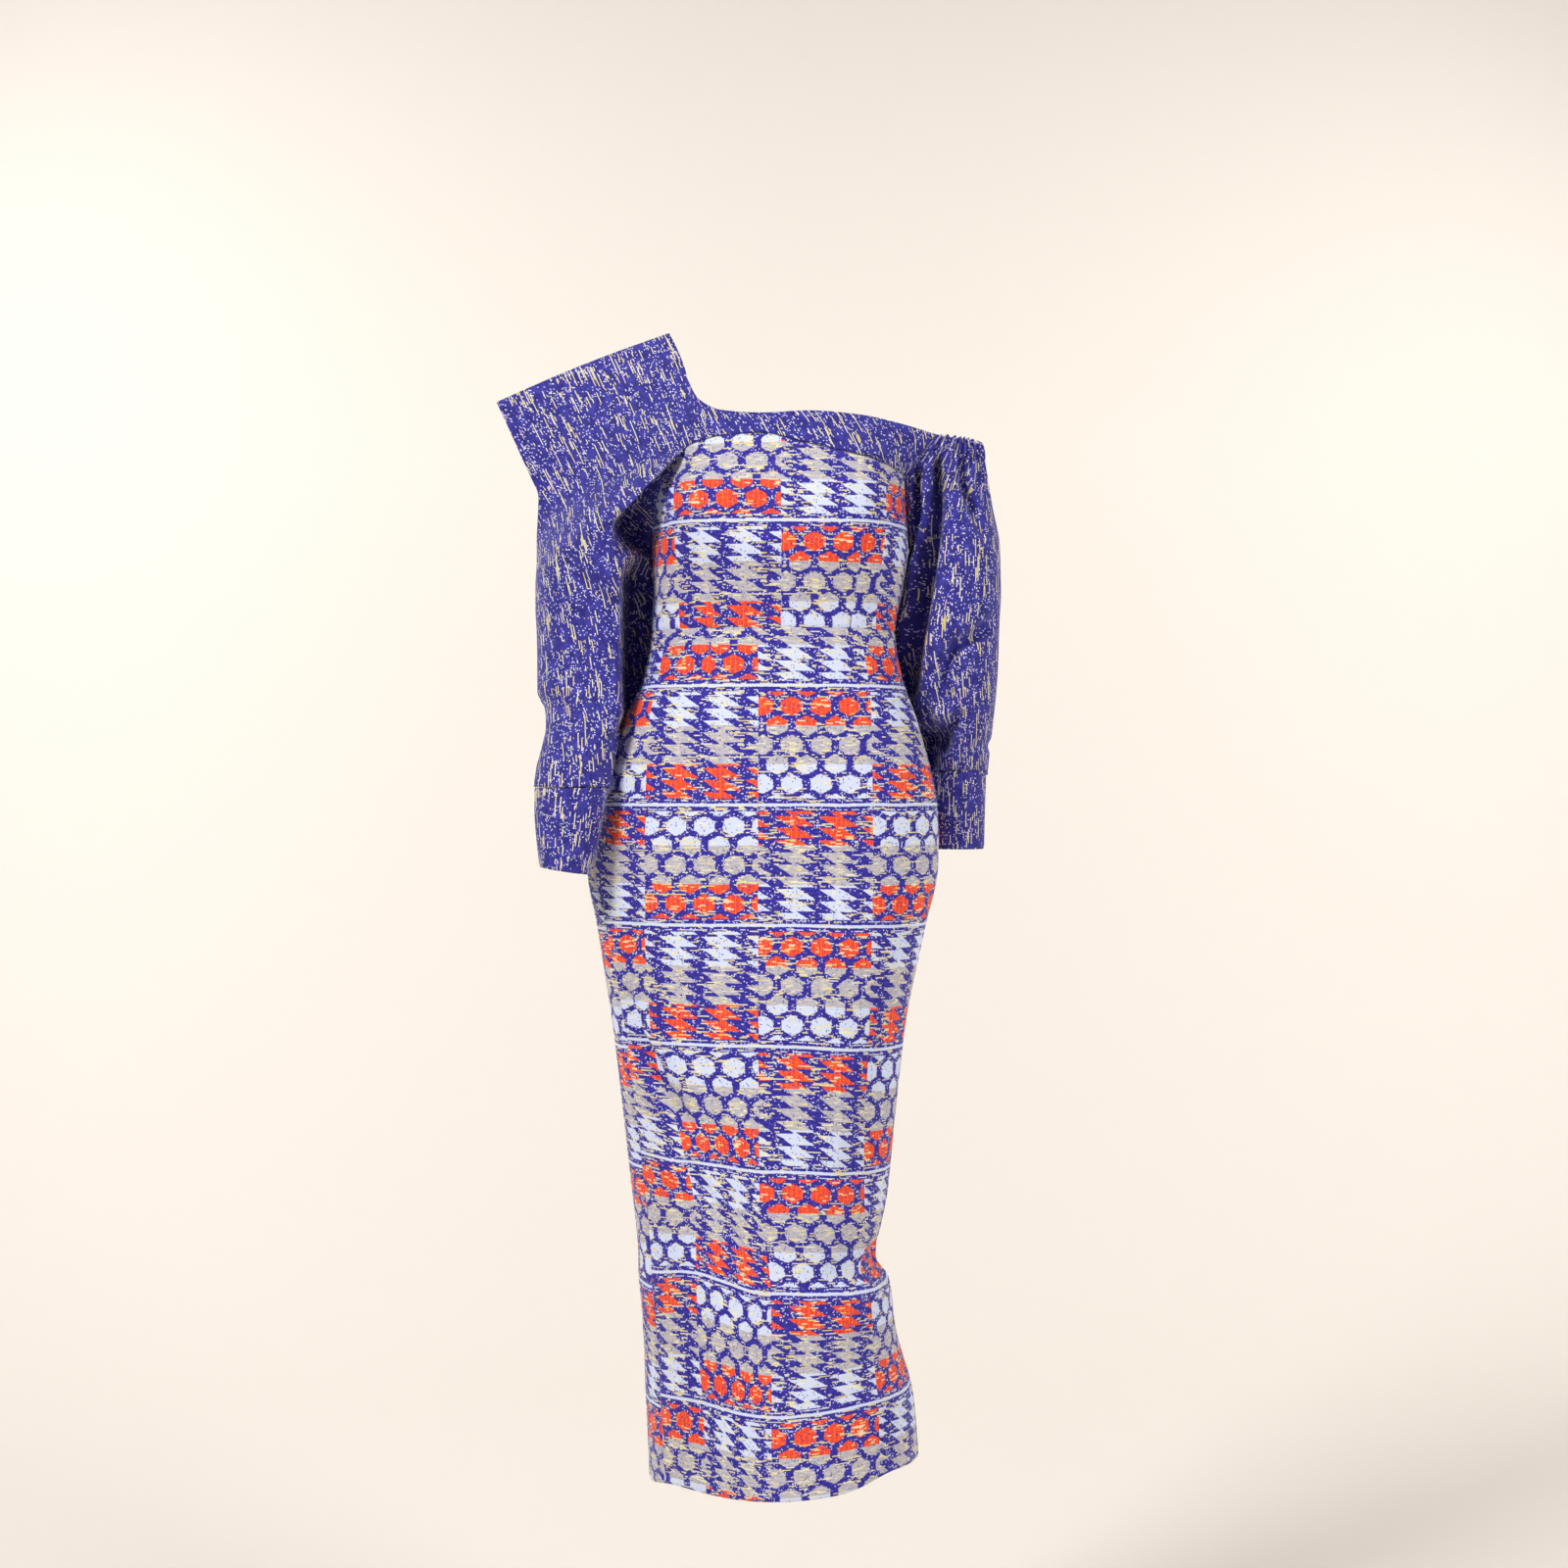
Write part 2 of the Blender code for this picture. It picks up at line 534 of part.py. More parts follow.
def piece(name, material, *grids, turned=False, seam_side=0):
    """Weld grids of points into one open surface and give it the wall's thickness."""
    shape = bmesh.new()
    for grid in grids:
        corners = [[shape.verts.new(point) for point in row] for row in grid]
        for upper, lower in zip(corners, corners[1:]):
            for corner in zip(upper, lower, lower[1:], upper[1:]):
                shape.faces.new(reversed(corner) if turned else corner)
    bmesh.ops.remove_doubles(shape, verts=shape.verts, dist=WELD)
    mesh = bpy.data.meshes.new(name)
    shape.to_mesh(mesh)
    shape.free()
    mesh.materials.append(material)
    mesh.shade_smooth()
    item = bpy.data.objects.new(name, mesh)
    dress.objects.link(item)
    wall = item.modifiers.new("wall", "SOLIDIFY")
    wall.thickness = WALL
    wall.offset = -1
    if seam_side:
        wall.solidify_mode = "NON_MANIFOLD"
        wall.nonmanifold_thickness_mode = "CONSTRAINTS"
        whole = item.evaluated_get(bpy.context.evaluated_depsgraph_get())
        item.data = bpy.data.meshes.new_from_object(whole)
        item.modifiers.clear()
        seam_cut(item.data, seam_side)
    return item


for old in list(bpy.data.objects):
    bpy.data.objects.remove(old)
dress = bpy.data.collections.new("one_shoulder_dress")
bpy.context.scene.collection.children.link(dress)
print_cloth = cloth("block_print_cloth", 0)
plain_cloth = cloth("streaked_indigo_cloth", 1)

# The bodice: a front, and two backs that meet at the centre back seam. Its columns end
# where the rows of the sleeves do, so the edges that are sewn together match.
rows = np.arange(len(YOKE["outer_x"]), dtype=float)
right_stops = armhole_turn(YOKE["inner_height"][UNDERARM_ROW:CORNER_ROW:-1])
right_stops[0] = BODICE_TOP["turn"][0]
band_turns = np.append(
    np.linspace(WING_CORNER_TURN, 0, BAND_STEPS_RIGHT + 1),
    np.linspace(0, BAND_END_TURN, BAND_STEPS_LEFT + 1)[1:],
)
armhole_heights = np.linspace(float(bodice_top(BAND_END_TURN)), UNDERARM, ARMHOLE_STEPS + 1)
left_stops = armhole_turn(armhole_heights, right=False)[1:]
front_turns = np.concatenate((right_stops, band_turns, left_stops))
back_turns = np.where(front_turns < 0, -180 - front_turns, 180 - front_turns)[::-1]
right_turns = np.append(-180, back_turns[back_turns < 0])
left_turns = back_turns[back_turns > 0]
piece("bodice_front", print_cloth, bodice_panel(front_turns, BODICE_ROWS))
piece("bodice_back_right", print_cloth, bodice_panel(right_turns, BODICE_ROWS))
piece("bodice_back_left", print_cloth, bodice_panel(left_turns, BODICE_ROWS))

# The skirt: a front and two backs, from the waist seam to the hem.
piece("skirt_front", print_cloth, skirt_panel("right", "left", SKIRT_FRONT_STEPS))
piece("skirt_back_left", print_cloth, skirt_panel("left", "back", SKIRT_BACK_STEPS))
piece("skirt_back_right", print_cloth, skirt_panel("back", "right", SKIRT_BACK_STEPS))

# The yoke: on each side one piece is neck band, shoulder wing and half the right sleeve.
band_part = np.linspace(0, 1, BAND_ROWS + 1)
wing_part = np.linspace(0, 1, WING_STEPS + 1)
underarm_part = np.linspace(0, 1, UNDERARM_STEPS + 1)
for name, side in (("yoke_sleeve_front", -1), ("yoke_sleeve_back", 1)):
    wing = wing_grid(rows, wing_part, side)
    wing[CORNER_ROW, -1] = bodice_edge(WING_CORNER_TURN if side < 0 else -180 - WING_CORNER_TURN)
    crest = wing[:, -1]
    underarm = underarm_grid(rows[CORNER_ROW:], underarm_part, side, crest[CORNER_ROW:])
    band = band_grid(band_turns, band_part, side, crest[NECK_ROW:CORNER_ROW + 1])
    piece(name, plain_cloth, wing, underarm, band, turned=side > 0, seam_side=side)

# The left sleeve: an elastic casing at its head, the sleeve, and its cuff.
ring_steps = 2 * GATHERS
head = left_sleeve_grid(np.linspace(CASING_TOP, CASING_FOOT, HEAD_ROWS + 1), ring_steps)
piece("sleeve_head_left", plain_cloth, shortened(head, SEAM))
upper = np.linspace(CASING_FOOT, armhole_heights[0], SLEEVE_TOP_ROWS + 1)
lower = np.linspace(UNDERARM, LEFT_SLEEVE_FOOT, SLEEVE_ROWS + 1)
sleeve = left_sleeve_grid(np.concatenate((upper, armhole_heights[1:], lower[1:])), ring_steps)
piece("sleeve_left", plain_cloth, sleeve)

# The cuffs: plain tubes with the seam on the inner side.
piece("cuff_left", plain_cloth, cuff_grid(LEFT_CUFF, CUFF_STEPS))
piece("cuff_right", plain_cloth, cuff_grid(RIGHT_CUFF, CUFF_STEPS, CUFF_TILT))
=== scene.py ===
# A one-shoulder dress in printed cotton, in its worn form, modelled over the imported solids.
# Metres, +Z up, front towards -Y. The origin is where the right shoulder seam rests.
# Lengths in the tables, and those of the two cloths' patterns, are in millimetres.

import math
from functools import partialmethod

import bmesh
import bpy
import numpy as np
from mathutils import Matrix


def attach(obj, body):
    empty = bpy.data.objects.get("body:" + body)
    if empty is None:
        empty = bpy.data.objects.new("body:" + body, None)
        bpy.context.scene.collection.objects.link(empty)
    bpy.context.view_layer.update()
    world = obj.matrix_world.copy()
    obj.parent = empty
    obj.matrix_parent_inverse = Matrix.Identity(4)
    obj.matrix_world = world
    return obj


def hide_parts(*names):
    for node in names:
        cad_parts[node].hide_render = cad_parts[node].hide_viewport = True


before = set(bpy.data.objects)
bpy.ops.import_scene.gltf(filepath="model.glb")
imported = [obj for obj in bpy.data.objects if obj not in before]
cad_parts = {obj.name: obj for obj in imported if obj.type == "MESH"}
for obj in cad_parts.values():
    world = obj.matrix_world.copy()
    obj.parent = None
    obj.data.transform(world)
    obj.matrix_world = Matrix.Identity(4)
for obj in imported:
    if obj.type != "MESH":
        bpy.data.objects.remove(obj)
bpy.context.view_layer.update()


# The studio. A seamless cream paper sweep, lit softly from the front and from both
# sides, with the camera level at the height of the hips, as in the photograph.
PIXEL = 0.00105  # what a pixel of the photograph spans at the depth of the shoulder seam
FRAME_PIXELS = 1600
CAMERA_PLACE = (0.142, -2.6, -0.476)
SENSOR = 36.0
FLOOR = -1.56
SWEEP_BACK = 3.6
SWEEP_RADIUS = 1.9
SWEEP_FRONT = -5.5
SWEEP_TOP = 4.0
SWEEP_HALF_WIDTH = 5.5
SWEEP_STEPS = 24
AIM_HEIGHT = -0.5  # the lamps point at this height, at the dress or at the paper
PAPER_AIM_DEPTH = 3.0


def linear(*parts):
    """Return a colour given in 0 to 255 as the linear values that a shader takes."""
    values = [part / 255 for part in parts]
    return [v / 12.92 if v < 0.04045 else ((v + 0.055) / 1.055) ** 2.4 for v in values] + [1]


def add(name, data):
    """Add an object to the scene."""
    item = bpy.data.objects.new(name, data)
    bpy.context.scene.collection.objects.link(item)
    return item


def set_sockets(node, values):
    """Give a node's sockets their constant values."""
    for name, value in values.items():
        node.inputs[name].default_value = value


camera_data = bpy.data.cameras.new("camera")
camera_data.sensor_width = SENSOR
camera_data.lens = SENSOR * -CAMERA_PLACE[1] / (PIXEL * FRAME_PIXELS)
camera = add("camera", camera_data)
camera.location = CAMERA_PLACE
camera.rotation_euler = (math.radians(90), 0, 0)
bpy.context.scene.camera = camera
bpy.context.scene.view_settings.view_transform = "Standard"

paper = bpy.data.materials.new("cream_paper")
paper.use_nodes = True
set_sockets(paper.node_tree.nodes["Principled BSDF"], {
    "Base Color": linear(250, 243, 235), "Roughness": 0.95, "Specular IOR Level": 0.1,
})

profile = [(SWEEP_FRONT, FLOOR)]
for angle in np.linspace(0, math.pi / 2, SWEEP_STEPS + 1):
    depth = SWEEP_BACK - SWEEP_RADIUS + SWEEP_RADIUS * math.sin(angle)
    profile.append((depth, FLOOR + SWEEP_RADIUS * (1 - math.cos(angle))))
profile.append((SWEEP_BACK, SWEEP_TOP))
corners = [
    (CAMERA_PLACE[0] + side * SWEEP_HALF_WIDTH, y, z) for y, z in profile for side in (-1, 1)
]
faces = [(2 * i, 2 * i + 1, 2 * i + 3, 2 * i + 2) for i in range(len(profile) - 1)]
sweep_mesh = bpy.data.meshes.new("paper_sweep")
sweep_mesh.from_pydata(corners, [], faces)
sweep_mesh.materials.append(paper)
sweep_mesh.shade_smooth()
add("paper_sweep", sweep_mesh)

LAMPS = (
    # name, place, size, power, red, green, blue
    ("key_softbox", (-2.1, -2.3, 1.7), 0.9, 116, 1.0, 0.985, 0.97),
    ("fill_softbox", (2.3, -2.0, 0.6), 1.2, 52, 1.0, 0.985, 0.97),
    ("top_softbox", (0.15, -0.6, 2.1), 1.4, 6, 1.0, 0.985, 0.97),
    ("paper_lamp_right", (2.6, 1.6, 0.8), 1.4, 36, 1.0, 0.98, 0.96),
    ("paper_lamp_left", (-2.4, 1.6, 1.0), 1.4, 40, 1.0, 0.99, 0.98),
)
for name, place, size, power, *tint in LAMPS:
    lamp_data = bpy.data.lights.new(name, "AREA")
    lamp_data.size = size
    lamp_data.energy = power
    lamp_data.color = tint
    lamp = add(name, lamp_data)
    lamp.location = place
    aim_depth = PAPER_AIM_DEPTH if name.startswith("paper") else 0.0
    way = np.array((CAMERA_PLACE[0], aim_depth, AIM_HEIGHT)) - np.array(place)
    turn_z = math.atan2(way[1], way[0]) - math.pi / 2
    lamp.rotation_euler = (math.pi / 2 + math.atan2(way[2], math.hypot(way[0], way[1])), 0, turn_z)

world = bpy.data.worlds.new("studio")
world.use_nodes = True
set_sockets(world.node_tree.nodes["Background"], {"Color": (1.0, 0.98, 0.95, 1), "Strength": 0.03})
bpy.context.scene.world = world


# The bodice. A front with two darts up from the waist, and two backs that meet at the
# centre back seam, cut from a cotton printed in blocks of honeycomb and of feathered
# zigzag. It is sewn to the neck band at its top edge and to the skirt at the waist.
WALL = 0.001  # thickness of the cloth as it shows
CENTRE_X = 0.142
ROUNDNESS = 2.3  # of the body's sections, where 2 is an ellipse
WAIST = -0.314
BUST_TURN = 35.0
BUST_HEIGHT = -0.188
BUST_RISE = 0.013
BUST_SPREAD_TURN = 20.0
BUST_SPREAD_HEIGHT = 0.045
WING_CORNER_TURN = -49.0
BAND_END_TURN = 75.0
SEAM_TUCK = 0.0013  # how deep the cloth dips into a seam
SEAM_REACH = 0.002
ALLOWANCE = 0.0045  # width of the seam allowances behind the seams
ALLOWANCE_DEPTH = 0.0012
ALLOWANCE_FROM = 4  # the row, clear of the tuck, that an allowance takes its direction from
WELD = 0.00002
FINE_STOPS = (0.0008, 0.0018, 0.0032)  # the closer rows at a seam
STOP_ROOM = 1.3
BODICE_STEP = 0.0018
BODICE_ROW_STEP = 0.003
BODICE_FRONT_WIDTH = 0.4  # for the spacing of the columns
BODICE_BACK_WIDTH = 0.2
DART_DEPTH = 0.0012
DART_REACH = 0.0015


def table(names, *rows):
    """Return one array for each named column, with the lengths turned from mm into metres."""
    columns = dict(zip(names.split(), np.array(rows, float).T))
    for name in columns:
        if name not in ("side", "lean") and not name.endswith("turn"):
            columns[name] = columns[name] / 1000
    return columns


# The body's level sections: how far the middle is to the wearer's left of the centre
# line, half the width, and the depths in front of and behind the middle.
SECTIONS = table(
    "height shift half_width front back",
    (-1216, 1, 144.5, 146, 98),
    (-1130, -4.5, 143, 142, 94),
    (-1057, -15.5, 135, 139, 90),
    (-1005, -21.2, 133.6, 137, 88),
    (-983, -28.5, 127, 134, 88),
    (-906, -25.7, 137, 127, 94),
    (-822, -26.3, 146, 121, 100),
    (-728, -26.3, 157.5, 117, 107),
    (-628, -24.2, 175.4, 112, 120),
    (-565, -22.6, 187.4, 109, 128),
    (-497, -17.3, 181, 109, 128),
    (-413, -14.7, 158.6, 103, 110),
    (-360, -12, 138, 97, 96),
    (-314, -11.5, 130.5, 96, 90),
    (-266, -6, 133.4, 108, 94),
    (-224, -4, 137, 119, 100),
    (-182, -5, 135.5, 119, 104),
    (-129, 0, 130, 107, 102),
    (-78, 0, 122, 88, 95),
    (-40, 0, 112, 74, 86),
)

# The top edge of the bodice: the right armhole, the seam under the band, the left armhole.
BODICE_TOP = table(
    "turn height",
    (-90, -224), (-80, -200), (-74, -180), (-65, -155), (-58, -137), (-49, -125), (-37, -119),
    (-25, -115), (-7, -114), (7, -124), (25, -133), (45, -140), (62, -147), (75, -152),
    (80, -176), (85, -201), (90, -224),
)
UNDERARM = BODICE_TOP["height"][0]

# The body's folds, each a trough between two points; side is -1 on the front and 1 on the
# back. A negative depth is a soft ridge. The first ten are in the solids too, and the
# others are finer ones.
BODY_FOLDS = table(
    "side start_x start_height end_x end_height depth reach",
    (-1, -24, -559, -10, -724, 6, 13),
    (-1, -14, -743, 42, -821, 7, 11),
    (-1, 42, -821, 142, -994, 4, 20),
    (-1, 256, -982, 200, -972, 5, 12),
    (-1, 256, -720, 215, -880, 3, 16),
    (1, 20, -665, 110, -705, 5, 16),
    (1, 250, -650, 170, -720, 5, 15),
    (1, 40, -930, 150, -985, 7, 14),
    (1, 220, -960, 130, -1030, 6, 15),
    (1, 60, -335, 225, -345, 3, 14),
    (-1, -25, -693, -10, -739, 9, 6),
    (-1, -10, -739, 11.8, -778, 12, 7),
    (-1, 11.8, -778, 35.8, -815, 11, 7),
    (-1, -15, -762, 5, -792, -4, 10),
    (-1, 41.8, -866, 95.9, -944, 6, 10),
    (-1, 95.9, -944, 129, -980, 5, 10),
    (-1, 207.1, -980, 242.1, -974, 4, 5),
    (-1, 236, -962, 250, -985, 7, 6),
    (1, 30, -720, 70, -800, 6, 8),
    (1, 230, -880, 190, -940, 5, 8),
)

# The darts, which show as stitched lines. The first five are those at the waist in front.
DARTS = table(
    "side start_x start_height end_x end_height",
    (-1, 63.6, -230, 69, -314),
    (-1, 227.4, -200, 221.4, -235),
    (-1, 221.4, -235, 210.3, -314),
    (-1, 65.6, -314, 65.6, -396),
    (-1, 209, -314, 207.3, -378),
    (-1, 2, -186, 27, -210),
    (-1, 264, -262, 244, -285),
    (1, 75, -235, 75, -380),
    (1, 205, -235, 205, -380),
)
DARTS["depth"] = np.full(len(DARTS["side"]), DART_DEPTH)
DARTS["reach"] = np.full(len(DARTS["side"]), DART_REACH)


def curve(at, rows, column):
    """Read a column along a table's first one, as a smooth curve that never swings past it."""
    key = next(iter(rows))
    order = np.argsort(rows[key])
    xs = rows[key][order]
    ys = rows[column][order]
    at = np.clip(at, xs[0], xs[-1])
    steps = np.diff(xs)
    slopes = np.diff(ys) / steps
    ahead, behind = slopes[1:], slopes[:-1]
    turning = ahead * behind <= 0
    weight = 3 * (steps[1:] + steps[:-1])
    parts = (2 * steps[1:] + steps[:-1]) / np.where(turning, 1, behind)
    parts = parts + (steps[1:] + 2 * steps[:-1]) / np.where(turning, 1, ahead)
    inner = np.where(turning, 0, weight / np.where(turning, 1, parts))
    tangents = np.concatenate(([slopes[0]], inner, [slopes[-1]]))
    index = np.clip(np.searchsorted(xs, at, side="right") - 1, 0, len(steps) - 1)
    step = steps[index]
    part = (at - xs[index]) / step
    start, end = ys[index], ys[index + 1]
    rise = end - start
    first = step * tangents[index]
    last = step * tangents[index + 1]
    cubic = first + last - 2 * rise
    square = 3 * rise - 2 * first - last
    return start + part * (first + part * (square + part * cubic))


def columns_at(at, rows):
    """Read all the other columns of a table along its first one."""
    return {name: curve(at, rows, name) for name in list(rows)[1:]}


def fade(value, start, end):
    """Return 0 at start and 1 at end, with a soft change between them."""
    part = np.clip((value - start) / (end - start), 0, 1)
    return part * part * (3 - 2 * part)


def mix(first, second, part):
    """Return first where part is 0, second where it is 1, and what lies between elsewhere."""
    return first + (second - first) * part


def rows_of(rows):
    """Return the rows of a table, each with its values by name."""
    return [dict(zip(rows, values)) for values in zip(*rows.values())]


def dent(folds, x, side, height, steepness=1.0):
    """Return how deep the troughs of a table of folds are at a point of one side."""
    trough = ridge = np.zeros(np.broadcast(x, side, height).shape)
    for fold in rows_of({"end_depth": folds["depth"], "end_reach": folds["reach"]} | folds):
        along_x = fold["end_x"] - fold["start_x"]
        along_height = fold["end_height"] - fold["start_height"]
        off_x, off_height = x - fold["start_x"], height - fold["start_height"]
        part = (off_x * along_x + off_height * along_height) / (along_x**2 + along_height**2)
        part = np.clip(part, 0, 1)
        away = (off_x - part * along_x) ** 2 + (off_height - part * along_height) ** 2
        reach = mix(fold["reach"], fold["end_reach"], part)
        depth = mix(fold["depth"], fold["end_depth"], part)
        depth = depth * np.exp(-((away / reach**2) ** steepness)) * (side * fold["side"] > 0)
        trough = np.maximum(trough, depth)
        ridge = np.minimum(ridge, depth)
    return trough + ridge


def torso(turn, height, out=0.0):
    """Return points of the dress's body, out metres off its outer face."""
    turn, height = np.broadcast_arrays(np.asarray(turn, float), np.asarray(height, float))
    turn = (turn + 180) % 360 - 180
    angle = np.radians(turn)
    across = np.sign(np.sin(angle)) * np.abs(np.sin(angle)) ** (2 / ROUNDNESS)
    ahead = np.sign(np.cos(angle)) * np.abs(np.cos(angle)) ** (2 / ROUNDNESS)
    size = columns_at(height, SECTIONS)
    depth = np.where(ahead > 0, size["front"], size["back"])
    x = CENTRE_X + size["shift"] + size["half_width"] * across
    forward = -depth * ahead
    level = ((height - BUST_HEIGHT) / BUST_SPREAD_HEIGHT) ** 2
    for side in (-1, 1):
        aside = ((turn - side * BUST_TURN) / BUST_SPREAD_TURN) ** 2
        out = out + BUST_RISE * np.exp(-aside - level)
    out = out - dent(BODY_FOLDS, x, forward, height) - dent(DARTS, x, forward, height)
    facing_x = across / size["half_width"]
    facing_y = -ahead / depth
    length = np.hypot(facing_x, facing_y)
    return np.stack((x + out * facing_x / length, forward + out * facing_y / length, height), -1)


def bodice_top(turn):
    """Return the height of the bodice's top edge, which is the same in front and behind."""
    turn = np.where(turn > 90, 180 - turn, np.where(turn < -90, -180 - turn, turn))
    return curve(turn, BODICE_TOP, "height")


def stops(length, step):
    """Return places from 0 to 1 along a length, an even step apart and closer at the ends."""
    near = np.array(FINE_STOPS) / length
    count = max(2, round(length / step))
    even = np.linspace(0, 1, count + 1)
    room = near[-1] * STOP_ROOM
    even = even[(even > room) & (even < 1 - room)]
    return np.concatenate(([0], near, even, 1 - near[::-1], [1]))


def run(points, axis):
    """Return how far each point of a grid is along its row or column."""
    steps = np.linalg.norm(np.diff(points, axis=axis), axis=-1)
    total = np.cumsum(steps, axis=axis)
    return np.concatenate((np.zeros_like(np.take(total, [0], axis)), total), axis)


def facing(points):
    """Return the unit normals of a grid, for rows that go down and columns to the right."""
    down, along = np.gradient(points, axis=0), np.gradient(points, axis=1)
    normal = np.cross(down, along)
    return normal / np.maximum(np.linalg.norm(normal, axis=-1, keepdims=True), 1e-12)


def tucked(points, top=0, foot=0, first=0, last=0):
    """Dip a grid's edges into their seams; each edge is given its share of the depth."""
    down = run(points, 0)
    along = run(points, 1)
    depth = np.zeros(points.shape[:2])
    for share, away in (
        (top, down), (foot, down[-1:] - down), (first, along), (last, along[:, -1:] - along),
    ):
        depth = np.maximum(depth, share * np.exp(-((away / SEAM_REACH) ** 2)))
    return points - SEAM_TUCK * depth[..., None] * facing(points)


def with_allowance(points, edge, share=1.0, out=1):
    """Add a narrow seam allowance along one edge of a grid, turned in behind the next piece."""
    grid, inward = points, -out * facing(points)
    if edge in ("first", "last"):
        grid, inward = grid.swapaxes(0, 1), inward.swapaxes(0, 1)
    if edge in ("foot", "last"):
        grid, inward = grid[::-1], inward[::-1]
    inward = inward[ALLOWANCE_FROM]
    away = grid[0] - grid[ALLOWANCE_FROM]
    away = away / np.maximum(np.linalg.norm(away, axis=-1, keepdims=True), 1e-9)
    share = np.broadcast_to(share, grid.shape[1])[:, None]
    bend = grid[0] + inward * ALLOWANCE_DEPTH * share
    end = bend + (inward * ALLOWANCE_DEPTH + away * ALLOWANCE) * share
    grid = np.concatenate((end[None], bend[None], grid))
    if edge in ("foot", "last"):
        grid = grid[::-1]
    return grid.swapaxes(0, 1) if edge in ("first", "last") else grid


def cloth_piece(node, cloth, grids, turned=False):
    """Weld grids of (points, places on the cloth) into one thin sheet in its solid's place."""
    slot, material = cloth
    shape = bmesh.new()
    layer = shape.loops.layers.uv.new("cloth")
    for points, places in grids:
        corners = [[shape.verts.new(point) for point in row] for row in points]
        for i in range(len(corners) - 1):
            for j in range(len(corners[0]) - 1):
                ring = [(i, j), (i + 1, j), (i + 1, j + 1), (i, j + 1)]
                if turned:
                    ring.reverse()
                face = shape.faces.new([corners[a][b] for a, b in ring])
                for loop, (a, b) in zip(face.loops, ring):
                    loop[layer].uv = places[a, b]
    bmesh.ops.remove_doubles(shape, verts=shape.verts, dist=WELD)
    mesh = bpy.data.meshes.new(f"{node}_cloth")
    shape.to_mesh(mesh)
    shape.free()
    mesh.materials.append(material)
    mesh.shade_smooth()
    item = add(f"{node}_cloth", mesh)
    thick = item.modifiers.new("wall", "SOLIDIFY")
    thick.thickness = WALL
    thick.offset = -1
    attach(item, "root")
    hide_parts(node)


class Shade:
    """A socket of a material. Sums, products and comparisons of it add their own nodes."""

    def __init__(self, tree, socket=None):
        self.tree = tree
        self.socket = socket

    def make(self, kind, values=None, output=0, **settings):
        """Add any node, give it its settings and then its sockets' values or links."""
        node = self.tree.nodes.new(f"ShaderNode{kind}")
        for name, value in settings.items():
            setattr(node, name, value)
        for name, value in (values or {}).items():
            if isinstance(value, Shade):
                self.tree.links.new(value.socket, node.inputs[name])
            else:
                node.inputs[name].default_value = value
        return Shade(self.tree, node.outputs[output])

    def math(self, operation, *others):
        return self.make("Math", dict(enumerate((self, *others))), operation=operation)

    __add__ = __radd__ = partialmethod(math, "ADD")
    __sub__ = partialmethod(math, "SUBTRACT")
    __mul__ = __rmul__ = partialmethod(math, "MULTIPLY")
    __truediv__ = partialmethod(math, "DIVIDE")
    __mod__ = partialmethod(math, "FLOORED_MODULO")
    __gt__ = partialmethod(math, "GREATER_THAN")
    __lt__ = partialmethod(math, "LESS_THAN")
    __abs__ = partialmethod(math, "ABSOLUTE")
    floor = partialmethod(math, "FLOOR")
    most = partialmethod(math, "MAXIMUM")
    least = partialmethod(math, "MINIMUM")

    def __rsub__(self, other):
        return (self * -1) + other

    def soft(self, start, end):
        """Return 0 below start and 1 above end, with a soft change between them."""
        values = {"Value": self, "From Min": start, "From Max": end}
        return self.make("MapRange", values, interpolation_type="SMOOTHSTEP")

    def between(self, first, second):
        """Return first where this is 0 and second where it is 1; both are numbers."""
        return self * (second - first) + first

    def over(self, under, colour):
        """Lay one colour over another where this mask is 1."""
        return self.make("Mix", {0: self, 6: under, 7: colour}, 2, data_type="RGBA")

    def noise(self, other, seed, detail=1.0):
        """Return smooth noise, about 0.5, read at two coordinates."""
        place = self.make("CombineXYZ", {"X": self, "Y": other, "Z": seed})
        return self.make("TexNoise", {"Vector": place, "Scale": 1.0, "Detail": detail})

    def dots(self, other, seed):
        """Return one random value from 0 to 1 for each whole step of two coordinates."""
        place = self.make("CombineXYZ", {"X": self.floor(), "Y": other.floor(), "Z": seed})
        return self.make("TexWhiteNoise", {"Vector": place})


def new_cloth(name, roughness, sheen):
    """Start a cloth's material; return it, its shader and its place in mm on the cloth."""
    material = bpy.data.materials.new(name)
    material.use_nodes = True
    tree = material.node_tree
    shader = tree.nodes["Principled BSDF"]
    set_sockets(shader, {
        "Roughness": roughness, "Specular IOR Level": 0.25, "Sheen Weight": sheen,
        "Sheen Roughness": 0.5,
    })
    place = Shade(tree).make("UVMap", uv_map="cloth")
    across, up = (place.make("SeparateXYZ", {"Vector": place}, output) * 1000 for output in (0, 1))
    return material, shader, across, up


def finish_cloth(shader, colour, height, strength):
    """Give a cloth's shader its colour and the relief of its weave."""
    tree = colour.tree
    tree.links.new(colour.socket, shader.inputs["Base Color"])
    relief = colour.make("Bump", {"Height": height, "Distance": RELIEF, "Strength": strength})
    tree.links.new(relief.socket, shader.inputs["Normal"])


INDIGO = linear(44, 34, 142)
LIGHT_INDIGO = linear(66, 58, 176)
PALE_BLUE = linear(222, 230, 254)
DULL_BLUE = linear(158, 176, 228)
LINE_BLUE = linear(218, 226, 250)
TAUPE = linear(186, 182, 194)
LIGHT_TAUPE = linear(224, 216, 204)
DARK_TAUPE = linear(150, 142, 164)
ORANGE = linear(248, 74, 46)
AMBER = linear(255, 140, 66)
RED = linear(214, 40, 40)
GOLD = linear(240, 222, 140)
CREAM = linear(250, 244, 206)
WHITE = linear(232, 236, 252)
RELIEF = 0.0003

